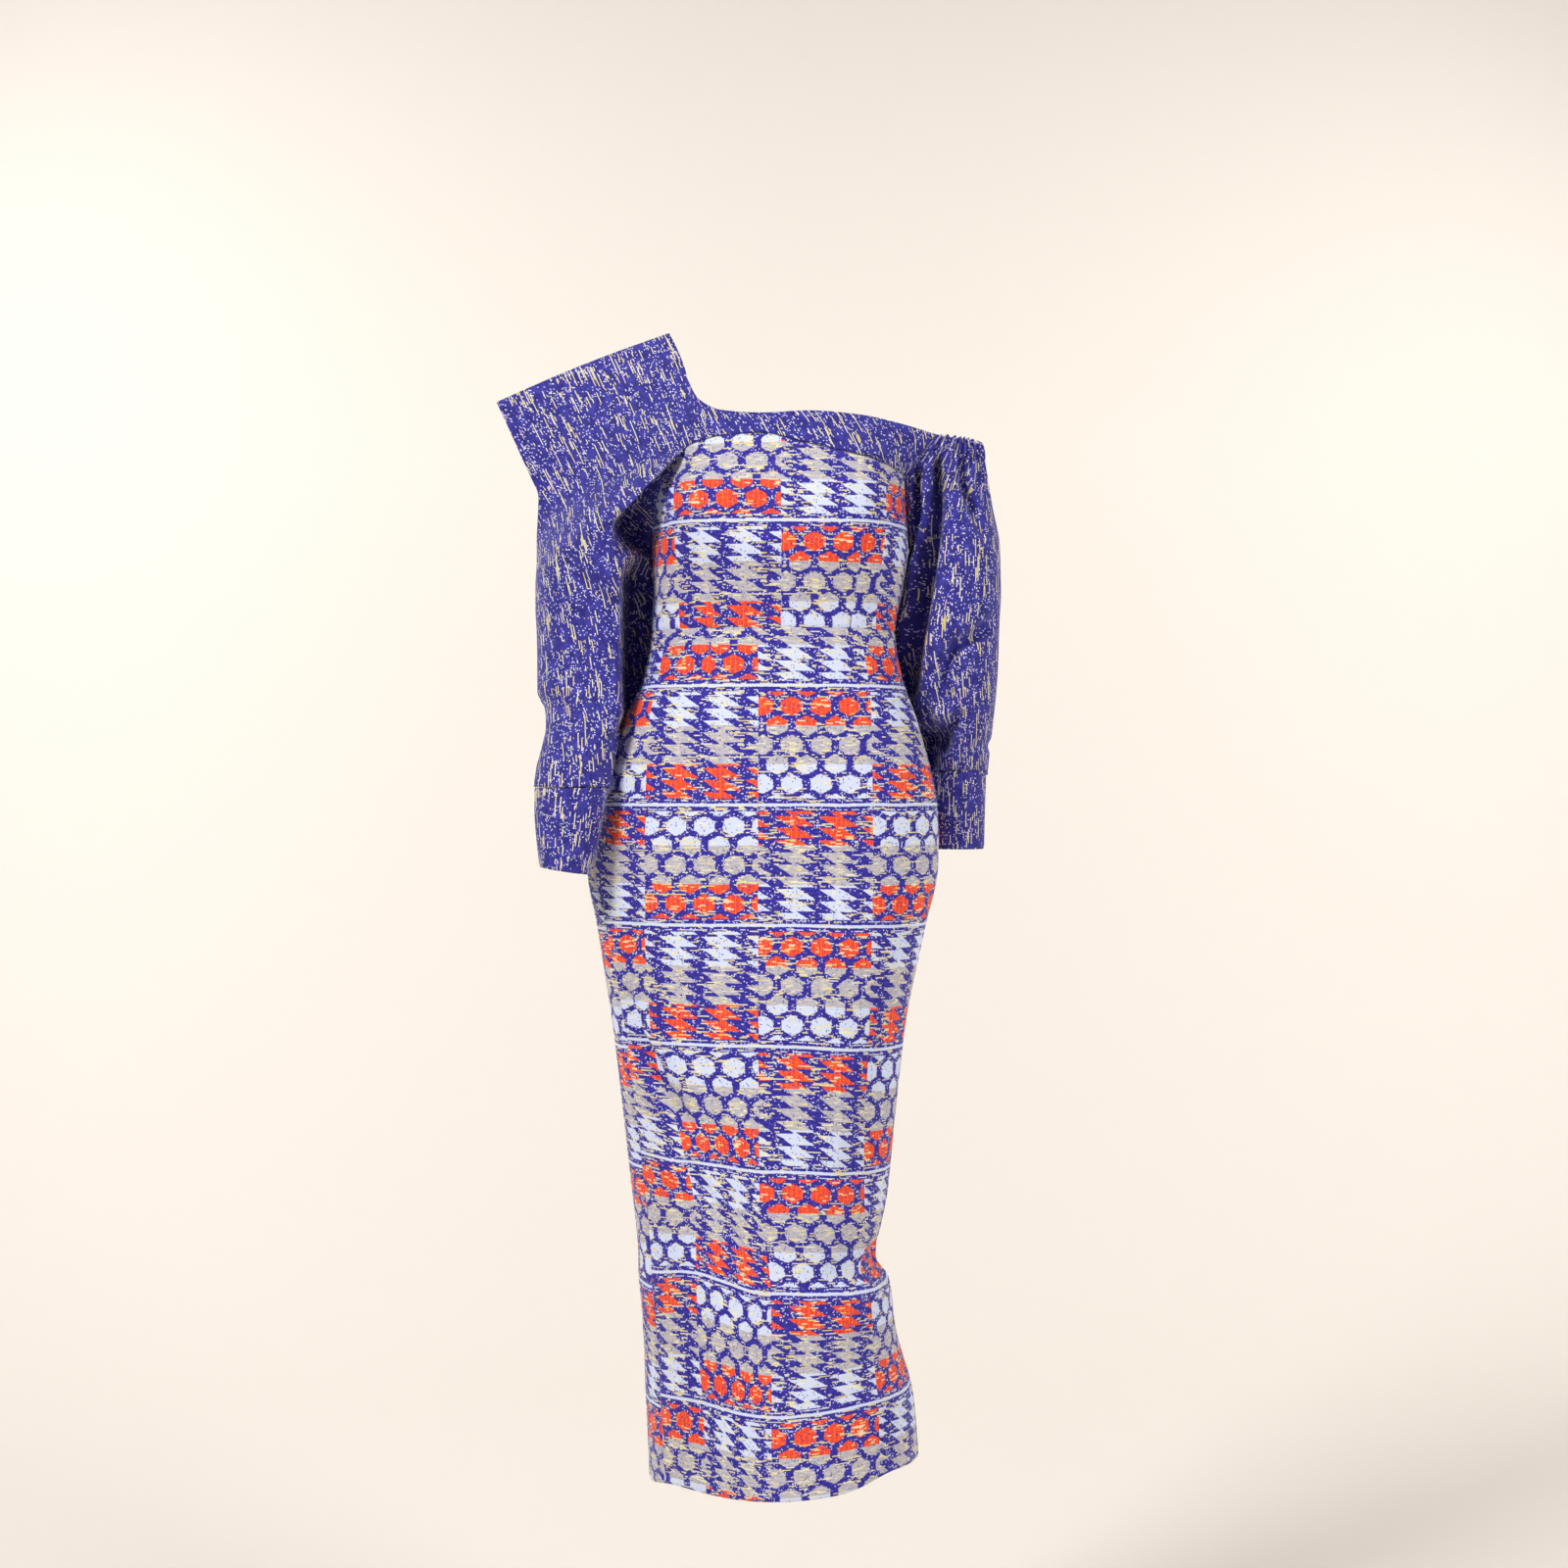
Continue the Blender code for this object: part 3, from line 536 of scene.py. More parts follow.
# The print's repeat, in millimetres on the flat cloth. In a call of noise, what divides a
# coordinate is the patches' size, and the number after both coordinates is the seed.
BLOCK_WIDTH = 120.5
BAND_HEIGHT = 123.5
BAND_PARTS = (0.337, 0.66)  # where a band's three colours change
LINE_HALF = 1.55  # half the width of the white line between two bands
LINE_MARGIN = 6.6  # from its middle to the figures
SIDE_LINE = 4.8  # from its middle to the broken line on each side
CELL_PITCH = 30.3
CELL_ROW = 20.0
CELL_FIRST = 4.3
CELL_HALF_WIDTH = 10.9
CELL_HALF_HEIGHT = 10.6
CELL_SLOPE = 0.53
FLAME_PITCH = 45.3
FLAME_CENTRE = 0.515
TOOTH = 12.35
TOOTH_LENGTHS = (20, 19)  # of the zigzag's right and left teeth
TOOTH_STARTS = (-0.8, -22.2)
THREAD = 1.25


def block_print_cloth():
    """Return the printed cotton: blocks of honeycomb and zigzag between thin white lines."""
    material, shader, across, up = new_cloth("block_print_cloth", 0.8, 0.12)
    down = up * -1
    thread = (across / THREAD).dots(down / THREAD, 1.0)
    across_drift = (across / 38).noise(down / 30, 2.0) * 3.0 - 1.5
    down_drift = (across / 34).noise(down / 60, 3.0) * 2.4 - 1.2
    u = across + across_drift
    v = down + down_drift
    column = (u / BLOCK_WIDTH).floor()
    band = (v / BAND_HEIGHT).floor()
    in_block = u - column * BLOCK_WIDTH
    in_band = v - band * BAND_HEIGHT
    zigzag_block = (column + band) % 2
    blue_first = column % 2
    lower, lowest = (in_band > BAND_HEIGHT * part for part in BAND_PARTS)
    orange = blue_first.between(1 - lower, lowest)
    taupe = lower - lowest

    row = ((in_band - BAND_HEIGHT / 2) / CELL_ROW + 0.5).floor()
    off_down = abs(in_band - BAND_HEIGHT / 2 - row * CELL_ROW)
    along = (in_block - CELL_FIRST) / CELL_PITCH + (row % 2) * 0.5 + 0.5
    off_across = abs(along % 1 - 0.5) * CELL_PITCH
    slant = (off_down + off_across * CELL_SLOPE - CELL_HALF_HEIGHT) * 0.9
    cell_edge = (off_across - CELL_HALF_WIDTH).most(slant)
    rough = (across / 2.2).noise(down / 1.5, 4.0) * 2.4 - 1.2
    cell = cell_edge + rough + (thread - 0.5) * 1.1 < 0

    streak = (across / 16).noise((down / THREAD).floor() * 0.55, 5.0)
    tooth = (v / TOOTH + (across / 45).noise(down / 200, 6.0) * 0.12) % 1
    beside = ((in_block - FLAME_CENTRE * BLOCK_WIDTH) / FLAME_PITCH % 1 - 0.5) * FLAME_PITCH
    feather = (streak - 0.5) * 5
    right_edge = ((tooth + 0.15) % 1) * TOOTH_LENGTHS[0] + TOOTH_STARTS[0]
    left_edge = tooth * TOOTH_LENGTHS[1] + TOOTH_STARTS[1]
    flame = (beside + feather < right_edge) * (beside + feather > left_edge)

    to_line = in_band.least(BAND_HEIGHT - in_band)
    figure = zigzag_block.between(cell, flame) * (to_line + rough > LINE_MARGIN)
    line = to_line + rough * 0.6 < LINE_HALF
    beside_line = (abs(to_line - SIDE_LINE) < 0.5) * ((across / 9).noise(band * 3.1, 7.0) > 0.52)

    ribs = abs((down / THREAD) % 1 - 0.5) * 2
    blotch = (across / 9).noise(down / 1.6, 8.0, 2.0)
    checks = (abs((across / 5.2) % 1 - 0.5) < 0.09).most(blotch > 0.6)
    colour = (ribs * 0.14 + (thread - 0.5) * 0.2).most(0).over(PALE_BLUE, DULL_BLUE)
    taupe_colour = blotch.soft(0.45, 0.7).over(TAUPE, LIGHT_TAUPE)
    taupe_colour = ((thread - 0.65) * 0.5).most(0).over(taupe_colour, DARK_TAUPE)
    orange_colour = (checks * 0.55).over(ORANGE, AMBER)
    orange_colour = ((thread < 0.14) * 0.5).over(orange_colour, RED)
    colour = taupe.over(colour, taupe_colour)
    colour = orange.over(colour, orange_colour)
    ground = (across / 6).noise(down / 2, 9.0).soft(0.35, 0.75).over(INDIGO, LIGHT_INDIGO)
    dust = (thread > 0.9) * ((across / 7).noise(down / 7, 10.0) > 0.44)
    ground = (dust * 0.75).over(ground, WHITE)
    colour = figure.over(ground, colour)
    colour = ((thread < 0.05) * figure * 0.75).over(colour, INDIGO)
    colour = line.over(colour, LINE_BLUE)
    colour = (beside_line * 0.8).over(colour, WHITE)

    dash_row = (down / THREAD).floor()
    cluster = (across / 26).noise(down / 20, 12.0)
    dash = (across / 13).noise(dash_row * 5.3, 13.0) + (cluster - 0.5) * 0.3 > 0.612
    bead = (across / THREAD) % 1 > 0.16
    gilt = (across / 30).noise(dash_row * 1.9, 14.0).soft(0.4, 0.6).over(CREAM, GOLD)
    colour = (dash * bead * 0.95).over(colour, gilt)
    height = ribs * -0.6 + thread * 0.5 + dash * 0.5
    finish_cloth(shader, colour, height, 0.45)
    return material


print_cloth = ("block_print_cloth", block_print_cloth())
BODICE_LINE = -0.206  # the print's white line across the bodice
BODICE_BLOCK_X = 0.139  # where two columns of blocks meet on the bodice's front
BACK_BLOCK = 0.06  # from the centre back seam to a block's edge
DART_INTAKE = 0.012  # cloth folded away in a dart at the waist
WAIST_DARTS = 5
DART_TOPS = {-1: -0.23, 1: -0.2}  # on the wearer's right and left
BODICE_DART = 0.1  # the lengths over which a dart reaches its full intake
SKIRT_DART = 0.08


def bodice_grid(turns):
    """Return the points of a bodice panel, from its top edge to the waist."""
    top = bodice_top(turns)
    rows = stops(float(bodice_top(0)) - WAIST, BODICE_ROW_STEP)[:, None]
    return with_allowance(tucked(torso(turns, mix(top, WAIST, rows)), 1, 1, 1, 1), "top")


def dart_shift(points):
    """Return the cloth that the darts take up between the block line and each point."""
    shift = np.zeros(points.shape[:2])
    x, height = points[..., 0], points[..., 2]
    for dart in rows_of(DARTS)[:WAIST_DARTS]:
        side = 1 if dart["start_x"] > CENTRE_X else -1
        part = (height - dart["start_height"]) / (dart["end_height"] - dart["start_height"])
        line = mix(dart["start_x"], dart["end_x"], np.clip(part, 0, 1))
        deep = np.abs(height - DART_TOPS[side]) / BODICE_DART
        if dart["end_height"] < WAIST:
            deep = (height - dart["end_height"]) / SKIRT_DART
        taken = (part >= 0) & (part <= 1) & ((x - line) * side > 0)
        shift = shift + side * DART_INTAKE * np.clip(deep, 0, 1) * taken
    return shift


def value_at(points, values, x):
    """Return a value of each row of a grid where that row crosses an x, as a column."""
    rows = zip(np.broadcast_to(x, len(points)), points, values)
    return np.array([[np.interp(at, row[:, 0], value)] for at, row, value in rows])


def back_places(points, name, line_height):
    """Return places on the cloth of a back, counted from the centre back seam."""
    along = run(points, 1)
    along = along - (along[:, -1:] if name == "left" else 0)
    return np.stack((along + BACK_BLOCK, points[..., 2] - line_height), -1)


points = bodice_grid(-90 + 180 * stops(BODICE_FRONT_WIDTH, BODICE_STEP))
along = run(points, 1)
across = along - value_at(points, along, BODICE_BLOCK_X) + dart_shift(points)
places = np.stack((across, points[..., 2] - BODICE_LINE), -1)
cloth_piece("bodice_front", print_cloth, [(points, places)])
for name, first, last in (("right", -180, -90), ("left", 90, 180)):
    points = bodice_grid(first + (last - first) * stops(BODICE_BACK_WIDTH, BODICE_STEP))
    grids = [(points, back_places(points, name, BODICE_LINE))]
    cloth_piece(f"bodice_back_{name}", print_cloth, grids)


# The skirt. A long narrow tube in the same print, a front and two backs, close at the
# hips and pegged to the knee, with the slight twist and the drag folds of a skirt that
# hangs from the waist seam with one knee forward.
SKIRT_STEP = 0.003
SKIRT_ROW_STEP = 0.0055
SKIRT_LENGTH = 0.886  # for the spacing of the rows and columns
SKIRT_FRONT_WIDTH = 0.5
SKIRT_BACK_WIDTH = 0.28
HEM_PASSES = 3  # the hem's height follows the seams' turns, which follow the height
SKIRT_LINE = -0.374
SKIRT_BACK_LINE = -0.381
BLOCK = BLOCK_WIDTH / 1000

# The hem, the three seams, and where an edge between two of the print's blocks runs.
HEM = table(
    "turn height",
    (-180, -1203), (-90, -1214), (-45, -1198), (-5, -1203), (20, -1198), (50, -1184), (75, -1187),
    (100, -1198), (180, -1203),
)
SKIRT_SEAMS = table(
    "height right_turn left_turn back_turn",
    (-1220, -58, 97, 194),
    (-900, -59, 97, 193),
    (-560, -70, 95, 189),
    (-314, -80, 92, 185),
)
SKIRT_BLOCK = table(
    "height x",
    (-1220, 129), (-1000, 129), (-900, 116.5), (-314, 115.2),
)
# The next block's edge to the left, where the drag folds have taken up some cloth.
SKIRT_LEFT_BLOCK = table(
    "height x",
    (-1220, 64), (-1166, 62), (-1116, 60), (-1030, 53.5), (-943, 52), (-897, 49), (-872, 43),
    (-829, 32), (-744, 5), (-626, -3),
)
LEFT_BLOCK_TOP = (-0.6, -0.64)  # above these heights that edge is in its usual place
# How far the print's lines stand above the level at four places across the skirt's front.
LIFT_PLACES = (-0.015, 0.045, 0.13, 0.252)
PRINT_LIFT = table(
    "height left inner middle right",
    (-1220, 2, 6, -2, 4),
    (-1120, 3, 8, -3, 5),
    (-995, 6, 17, -3, -10),
    (-872.5, 9, 4, -4, -12),
    (-749, 2, 1, 0, -8),
    (-626, 0, 0, 0, -3),
    (-500, 0, 0, 0, 0),
)


def skirt_grid(first, last, width):
    """Return the points of a skirt panel between two seams, from the waist to the hem."""
    part = stops(width, SKIRT_STEP)
    down = stops(SKIRT_LENGTH, SKIRT_ROW_STEP)[:, None]
    height = np.full((len(down), len(part)), WAIST)
    for _ in range(HEM_PASSES):
        start = curve(height, SKIRT_SEAMS, f"{first}_turn")
        end = curve(height, SKIRT_SEAMS, f"{last}_turn")
        start = np.where(start > end, start - 360, start)
        turn = mix(start, end, part)
        around = np.where(turn < -180, turn + 360, turn)
        height = mix(WAIST, curve(around, HEM, "height"), down)
    return tucked(torso(turn, height), 1, 1, 1, 1)


points = skirt_grid("right", "left", SKIRT_FRONT_WIDTH)
x, height = points[..., 0], points[..., 2]
along = run(points, 1)
block_x = curve(height[:, 0], SKIRT_BLOCK, "x")
across = along - value_at(points, along, block_x) + dart_shift(points)
left_across = value_at(points, across, curve(height[:, 0], SKIRT_LEFT_BLOCK, "x"))
in_place = 1 - fade(height[:, :1], *LEFT_BLOCK_TOP)
left_across = mix(left_across, -BLOCK, in_place)
between = across * -BLOCK / left_across
beyond = across - left_across - BLOCK
across = np.where(across > 0, across, np.where(across > left_across, between, beyond))
lifts = list(columns_at(height, PRINT_LIFT).values())
lift = lifts[0]
for i in range(len(lifts) - 1):
    lift = lift + (lifts[i + 1] - lifts[i]) * fade(x, LIFT_PLACES[i], LIFT_PLACES[i + 1])
grids = [(points, np.stack((across, height - SKIRT_LINE - lift), -1))]
cloth_piece("skirt_front", print_cloth, grids)
for name, first, last in (("left", "left", "back"), ("right", "back", "right")):
    points = skirt_grid(first, last, SKIRT_BACK_WIDTH)
    grids = [(points, back_places(points, name, SKIRT_BACK_LINE))]
    cloth_piece(
        f"skirt_back_{name}", print_cloth, grids
    )


# The yoke. On the front and on the back one piece of plain-woven indigo cotton, streaked
# with cream and gold threads along its grain, makes the neck band, the wide flat wing
# over the right shoulder and half of the right sleeve.
SEAM = 0.0006  # between two pieces that are sewn together
BACK_BAND_DEPTH = 1.06  # of the band's back, as a share of its front
WING_CURVE = 1.25
FOLD_EDGE = 0.0013  # half the gap between front and back at the wing's outer edge
SHOULDER_BOW = 0.003
RECESS = 0.046  # how far the cloth under the wing curves in towards the arm
RECESS_BACK = 0.085  # and how far it goes behind the wing
RECESS_PLACE = 0.92  # from the wing's edge, at 0, to the armhole, at 1
RECESS_ROOM = 0.05  # the depth between both that the full recess needs
BAND_EASE_TURN = 40.0
CORNER_PULL = 0.8  # rows that follow the wing's corner to the bodice
CORNER_POWER = 6
NECK_ROW = 2
CORNER_ROW = 4
WING_END_ROW = 8
UNDERARM_ROW = 9
FREE_ROWS = (WING_END_ROW - 0.4, UNDERARM_ROW + 1)  # where the wing gives way to the sleeve
RECESS_ROWS = (CORNER_ROW + 1, CORNER_ROW + 3)
YOKE_STEPS = 6  # rows between two rows of the table
WING_COLUMNS = 48
UNDERARM_COLUMNS = 28
BAND_COLUMNS = 89
WING_END_CREASE = 0.12  # the creases fade out over these shares of a row
ARMHOLE_CREASE = 0.15

# Rows from the shoulder seam to the cuff. The outer edge is the seam between front and
# back. The crest is the wing's free edge down to row 8, and the forward-most line of the
# sleeve below it. The inner edge is the armhole from row 4 to row 9, then the underarm seam.
YOKE = table(
    "outer_x outer_height crest_x crest_front crest_back crest_height inner_x inner_height",
    (-166, -67, 19, 0, 0, 7, 19, 7),
    (-153, -95, 30, -22, 22, -17, 30, -17),
    (-140, -124, 40, -46, 46, -49, 40, -49),
    (-129, -148, 44, -66, 64, -87, 44, -87),
    (-121, -169, 41, -73, 72, -125, 41, -125),
    (-122, -193, 24, -88, 83, -143, 28, -137),
    (-123, -217, 8, -92, 86, -160, 16, -155),
    (-123, -240, -13, -90, 84, -183, 8, -178),
    (-124, -263, -36, -82, 79, -207, 3, -203),
    (-124, -276, -37, -80, 77, -226, 1, -224),
    (-124, -290, -38, -77, 74, -248, -2, -246),
    (-123, -308, -40, -73, 70, -277, -3, -272),
    (-122, -331, -46, -71, 62, -315, -4, -308),
    (-121, -356, -52, -70, 52, -349, -10, -342),
    (-120, -378, -56, -72, 40, -378, -19, -374),
    (-111, -397, -58, -77, 26, -398, -27, -397),
    (-109, -416, -60, -84, 10, -418, -33, -417),
    (-112, -437, -64, -92, -5, -438, -34, -438),
    (-117, -459, -69, -100, -20, -461, -36, -460),
    (-119, -479, -73, -105, -30, -479, -38, -479),
)
RIGHT_ARM = table(
    "height forward",
    (-479, -68), (-459, -62), (-437, -53), (-397, -31), (-356, -12), (-310, 0), (-200, 0), (0, 0),
)
BAND_TOP = table(
    "turn x forward height",
    (-49, 40, -46, -49),
    (-37, 52, -62, -72),
    (-25, 76, -79, -87),
    (-7, 122, -93, -92),
    (7, 166, -94, -90),
    (25, 213, -86, -92),
    (45, 257, -68, -98),
    (75, 302, -46, -108),
)
RIGHT_CREASES = table(
    "side start_x start_height end_x end_height depth reach",
    (-1, -126, -386, -89, -394, 7, 9),
    (-1, -88, -447, -60, -480, 6, 9),
    (-1, -56, -432, -36, -470, 5, 8),
    (-1, -78, -250, -36, -292, 5, 10),
    (-1, -52, -256, -22, -276, -5, 9),
    (-1, -70, -300, -78, -360, 4, 10),
    (-1, -60, -395, -84, -425, 3, 9),
    (1, -126, -386, -75, -396, 7, 10),
    (1, -100, -300, -60, -345, 5, 12),
    (1, -90, -445, -60, -478, 5, 10),
    (1, -50, -255, -80, -235, 4, 10),
)
# Where the sleeve hangs against the waist, its inner half turns back sharply at this
# line and its underarm seam lies behind the body.
INNER_FOLD_X = -0.026
SEAM_BACK = 0.03
SEAM_INWARD = 0.006
WAIST_ROWS = (9.0, 10.6, 15.4, 17.6)  # it begins, is full, begins to end and ends
AHEAD_RUN = (-0.4, 0.45)  # the parts of a row before the fold and after it
BEHIND_RUN = (0.55, 1.2)
TURN_RUN = (0.3, 0.75)
TURN_LEAN = 0.12


def on_side(turn, side):
    """Return a turn of the front, side -1, or the one behind it on the back, side 1."""
    return turn if side < 0 else np.where(turn < 0, -180 - turn, 180 - turn)


def bodice_edge(turn, side):
    """Return the points that a piece sewn to the bodice's top edge starts from."""
    turn = on_side(turn, side)
    return torso(turn, bodice_top(turn) + SEAM, SEAM)


def yoke_row(rows, side):
    """Return the named sizes of the wing and sleeve at some rows, on the front or back."""
    number = {"row": np.arange(len(YOKE["outer_x"]), dtype=float)}
    size = columns_at(rows, number | YOKE)
    size["crest_forward"] = size["crest_front"] if side < 0 else size["crest_back"]
    size["tube"] = fade(rows, CORNER_ROW - 1, WING_END_ROW)
    size["free"] = 1 - fade(rows, *FREE_ROWS)
    return size


def wing_points(rows, part, side):
    """Return the wing and the outer half of the right sleeve, from outer edge to crest."""
    rows, part = np.broadcast_arrays(rows[:, None], part[None, :])
    size = yoke_row(rows, side)
    edge = mix(FOLD_EDGE, SEAM / 2, size["tube"])
    outer_forward = curve(size["outer_height"], RIGHT_ARM, "forward") + side * edge
    angle = part * np.pi / 2
    across = mix(part, 1 - np.cos(angle), size["tube"])
    ahead = mix(part**WING_CURVE, np.sin(angle), size["tube"])
    crest_forward = size["crest_forward"] + side * edge * (1 - fade(rows, 0, 1))
    x = mix(size["outer_x"], size["crest_x"], across)
    height = mix(size["outer_height"], size["crest_height"], across)
    height = height + SHOULDER_BOW * np.sin(np.pi * part) * (1 - fade(rows, 0, CORNER_ROW))
    return np.stack((x, mix(outer_forward, crest_forward, ahead), height), -1)


def creased(points, side, share):
    """Press the right sleeve's creases into a grid, each column with its share of the depth."""
    depth = dent(RIGHT_CREASES, points[..., 0], np.full(points.shape[:2], side), points[..., 2])
    return points - side * (depth * share)[..., None] * (0, 1, 0)


def armhole_turn(height, right=True):
    """Return the turn of the right or left armhole's edge at a height."""
    corner = list(BODICE_TOP["turn"]).index(WING_CORNER_TURN if right else BAND_END_TURN)
    part = slice(0, corner + 1) if right else slice(corner, None)
    return curve(height, {name: BODICE_TOP[name][part] for name in ("height", "turn")}, "turn")


def underarm_points(rows, part, side, crest):
    """Return the inner half of the right sleeve, from its crest to armhole or underarm seam."""
    rows, part = np.broadcast_arrays(rows[:, None], part[None, :])
    size = yoke_row(rows, side)
    turn = armhole_turn(size["inner_height"])
    armhole = torso(on_side(turn, side), size["inner_height"] + SEAM, SEAM)
    start, full, late, end = WAIST_ROWS
    at_waist = fade(rows, start, full) * (1 - fade(rows, late, end))
    seam_forward = curve(size["inner_height"], RIGHT_ARM, "forward") + side * SEAM / 2
    seam_forward = seam_forward + SEAM_BACK * at_waist
    seam_x = size["inner_x"] + SEAM_INWARD * at_waist
    seam = np.stack((seam_x, seam_forward, size["inner_height"]), -1)
    inner = np.where((rows <= UNDERARM_ROW)[..., None], armhole, seam)
    crest = crest[:, None, :]
    angle = part * np.pi / 2
    across = np.sin(angle)
    ahead = 1 - np.cos(angle)
    if side < 0:
        flat = np.clip((INNER_FOLD_X - crest[..., 0]) / (inner[..., 0] - crest[..., 0]), 0.1, 0.9)
        folded = flat * fade(part, *AHEAD_RUN) + (1 - flat) * fade(part, *BEHIND_RUN)
        folded = (folded - folded[:, :1]) / (folded[:, -1:] - folded[:, :1])
        across = mix(across, folded, at_waist)
        turned = TURN_LEAN * part + (1 - TURN_LEAN) * fade(part, *TURN_RUN)
        ahead = mix(ahead, turned, at_waist)
    tube = mix(crest, inner, np.stack((across, ahead, across), -1))
    under = mix(crest, inner, RECESS_PLACE)
    room = np.abs(inner[..., 1] - crest[..., 1]) / RECESS_ROOM
    room = np.minimum(room, 1) * fade(rows, *RECESS_ROWS)
    under[..., 0] -= RECESS * room
    under[..., 1] -= side * RECESS_BACK * room
    part = part[..., None]
    turned_back = (1 - part) ** 2 * crest + 2 * part * (1 - part) * under + part**2 * inner
    return mix(tube, turned_back, size["free"][..., None])


def band_points(turns, part, side, crest):
    """Return the neck band, whose first column is the wing's edge from neck to corner."""
    top = np.stack(list(columns_at(turns, BAND_TOP).values()), -1)
    if side > 0:
        top[:, 1] *= -BACK_BAND_DEPTH
    low = bodice_edge(turns, side)
    top[0], low[0] = crest[0], crest[-1]
    grid = mix(top, low, part[:, None, None])
    bulge = crest[:, None, :] - grid[:, :1]
    near = 1 - fade(turns, turns[0], turns[0] + BAND_EASE_TURN)
    return grid + bulge * near[None, :, None]


# How much the thread leans at each height, from the wing's slope to straight down the arm.
GRAIN = table(
    "height lean",
    (-600, 0.02), (-460, 0.05), (-380, 0.1), (-300, 0.22), (-220, 0.38), (-120, 0.46), (20, 0.46),
)
GRAIN_SPAN = (-0.62, 0.02, 129)
UNDERARM_DEPTH = 0.3  # how much of its depth counts as width in the folded inner half


def streak_places(points, start, depth_share=1.0):
    """Return places on the streaked cloth, counted across the grain from each row's start."""
    level = np.linspace(*GRAIN_SPAN)
    lean = curve(level, GRAIN, "lean")
    slide = np.cumsum(lean) * (level[1] - level[0])
    flat = points * (1, depth_share, 0)
    u = start + run(flat, 1) + np.interp(points[..., 2], level, slide)
    return np.stack((u, points[..., 2]), -1)


STREAK_THREAD = 1.15
STREAK_PITCH = 1.3
NIGHT = linear(42, 38, 132)
DUSK = linear(66, 62, 172)
DARK_THREAD = linear(28, 25, 90)
PALE_DUST = linear(226, 224, 240)
PINK = linear(220, 184, 206)


def streaked_cloth():
    """Return the indigo cotton with its short cream and gold threads and its fine pale dust."""
    material, shader, across, up = new_cloth("streaked_indigo_cloth", 0.72, 0.15)
    thread = (across / STREAK_THREAD).dots(up / STREAK_THREAD, 21.0)
    line = (across / STREAK_PITCH).floor()
    cluster = (across / 16).noise(up / 42, 22.0)
    long_dash = (up / 26).noise(line * 4.3, 23.0) + (cluster - 0.5) * 0.25 > 0.625
    short_dash = (up / 9).noise(line * 6.1, 24.0) + (cluster - 0.5) * 0.25 > 0.7
    thin = abs((across / STREAK_PITCH) % 1 - 0.5) < 0.37
    dash = long_dash.most(short_dash) * thin
    dusty = (across / 10).noise(up / 14, 25.0)
    dust = (thread + (dusty - 0.5) * 0.3) > 0.93
    mottle = (across / 9).noise(up / 12, 26.0, 2.0).soft(0.3, 0.7)
    colour = mottle.over(NIGHT, DUSK)
    colour = ((thread < 0.3) * 0.6).over(colour, DARK_THREAD)
    colour = (dust * 0.95).over(colour, PALE_DUST)
    warm = (up / 30).noise(line * 2.2, 27.0)
    gilt = warm.soft(0.42, 0.62).over(CREAM, GOLD)
    gilt = (warm < 0.36).over(gilt, PINK)
    colour = (dash * 0.96).over(colour, gilt)
    ribs = abs((up / STREAK_THREAD) % 1 - 0.5) * 2
    finish_cloth(shader, colour, ribs * 0.4 + thread * 0.4 + dash * 0.5, 0.4)
    return material


plain_cloth = ("streaked_indigo_cloth", streaked_cloth())
last_row = len(YOKE["outer_x"]) - 1
yoke_rows = np.linspace(0, last_row, last_row * YOKE_STEPS + 1)
corner_at = CORNER_ROW * YOKE_STEPS
neck_at = NECK_ROW * YOKE_STEPS
sleeve_rows = yoke_rows[corner_at:]
band_rows = slice(neck_at, corner_at + 1)
wing_part = np.linspace(0, 1, WING_COLUMNS + 1)
under_part = np.linspace(0, 1, UNDERARM_COLUMNS + 1)
band_part = np.linspace(0, 1, corner_at - neck_at + 1)
band_turns = np.linspace(WING_CORNER_TURN, BAND_END_TURN, BAND_COLUMNS + 1)
for name, side, rests_on in (
    ("front", -1, "bodice_front_cloth"), ("back", 1, "bodice_back_right_cloth"),
):
    wing = wing_points(yoke_rows, wing_part, side)
    corner = bodice_edge(WING_CORNER_TURN, side)
    pull = np.exp(-(((yoke_rows - CORNER_ROW) / CORNER_PULL) ** 2))[:, None, None]
    near_edge = wing_part[None, :, None] ** CORNER_POWER
    wing = wing + (corner - wing[corner_at, -1]) * pull * near_edge
    under = underarm_points(sleeve_rows, under_part, side, wing[corner_at:, -1])
    under = creased(under, side, 1 - fade(under_part, 1 - ARMHOLE_CREASE, 1))
    wing = creased(wing, side, fade(wing_part, 0, WING_END_CREASE))
    under = with_allowance(under, "last", 1.0 * (sleeve_rows <= UNDERARM_ROW), -side)
    band = band_points(band_turns, band_part, side, wing[band_rows, -1])
    round_arm = run(wing * (1, 1, 0), 1)
    middle = WING_COLUMNS // 2
    first = wing[:, middle, :1] - round_arm[:, middle, None]
    last = first + round_arm[:, -1:]
    grids = (
        (wing, streak_places(wing, first)),
        (under, streak_places(under, last[corner_at:], UNDERARM_DEPTH)),
        (band, streak_places(band, last[band_rows])),
    )
    cloth_piece(
        f"yoke_sleeve_{name}", plain_cloth, grids, side > 0
    )


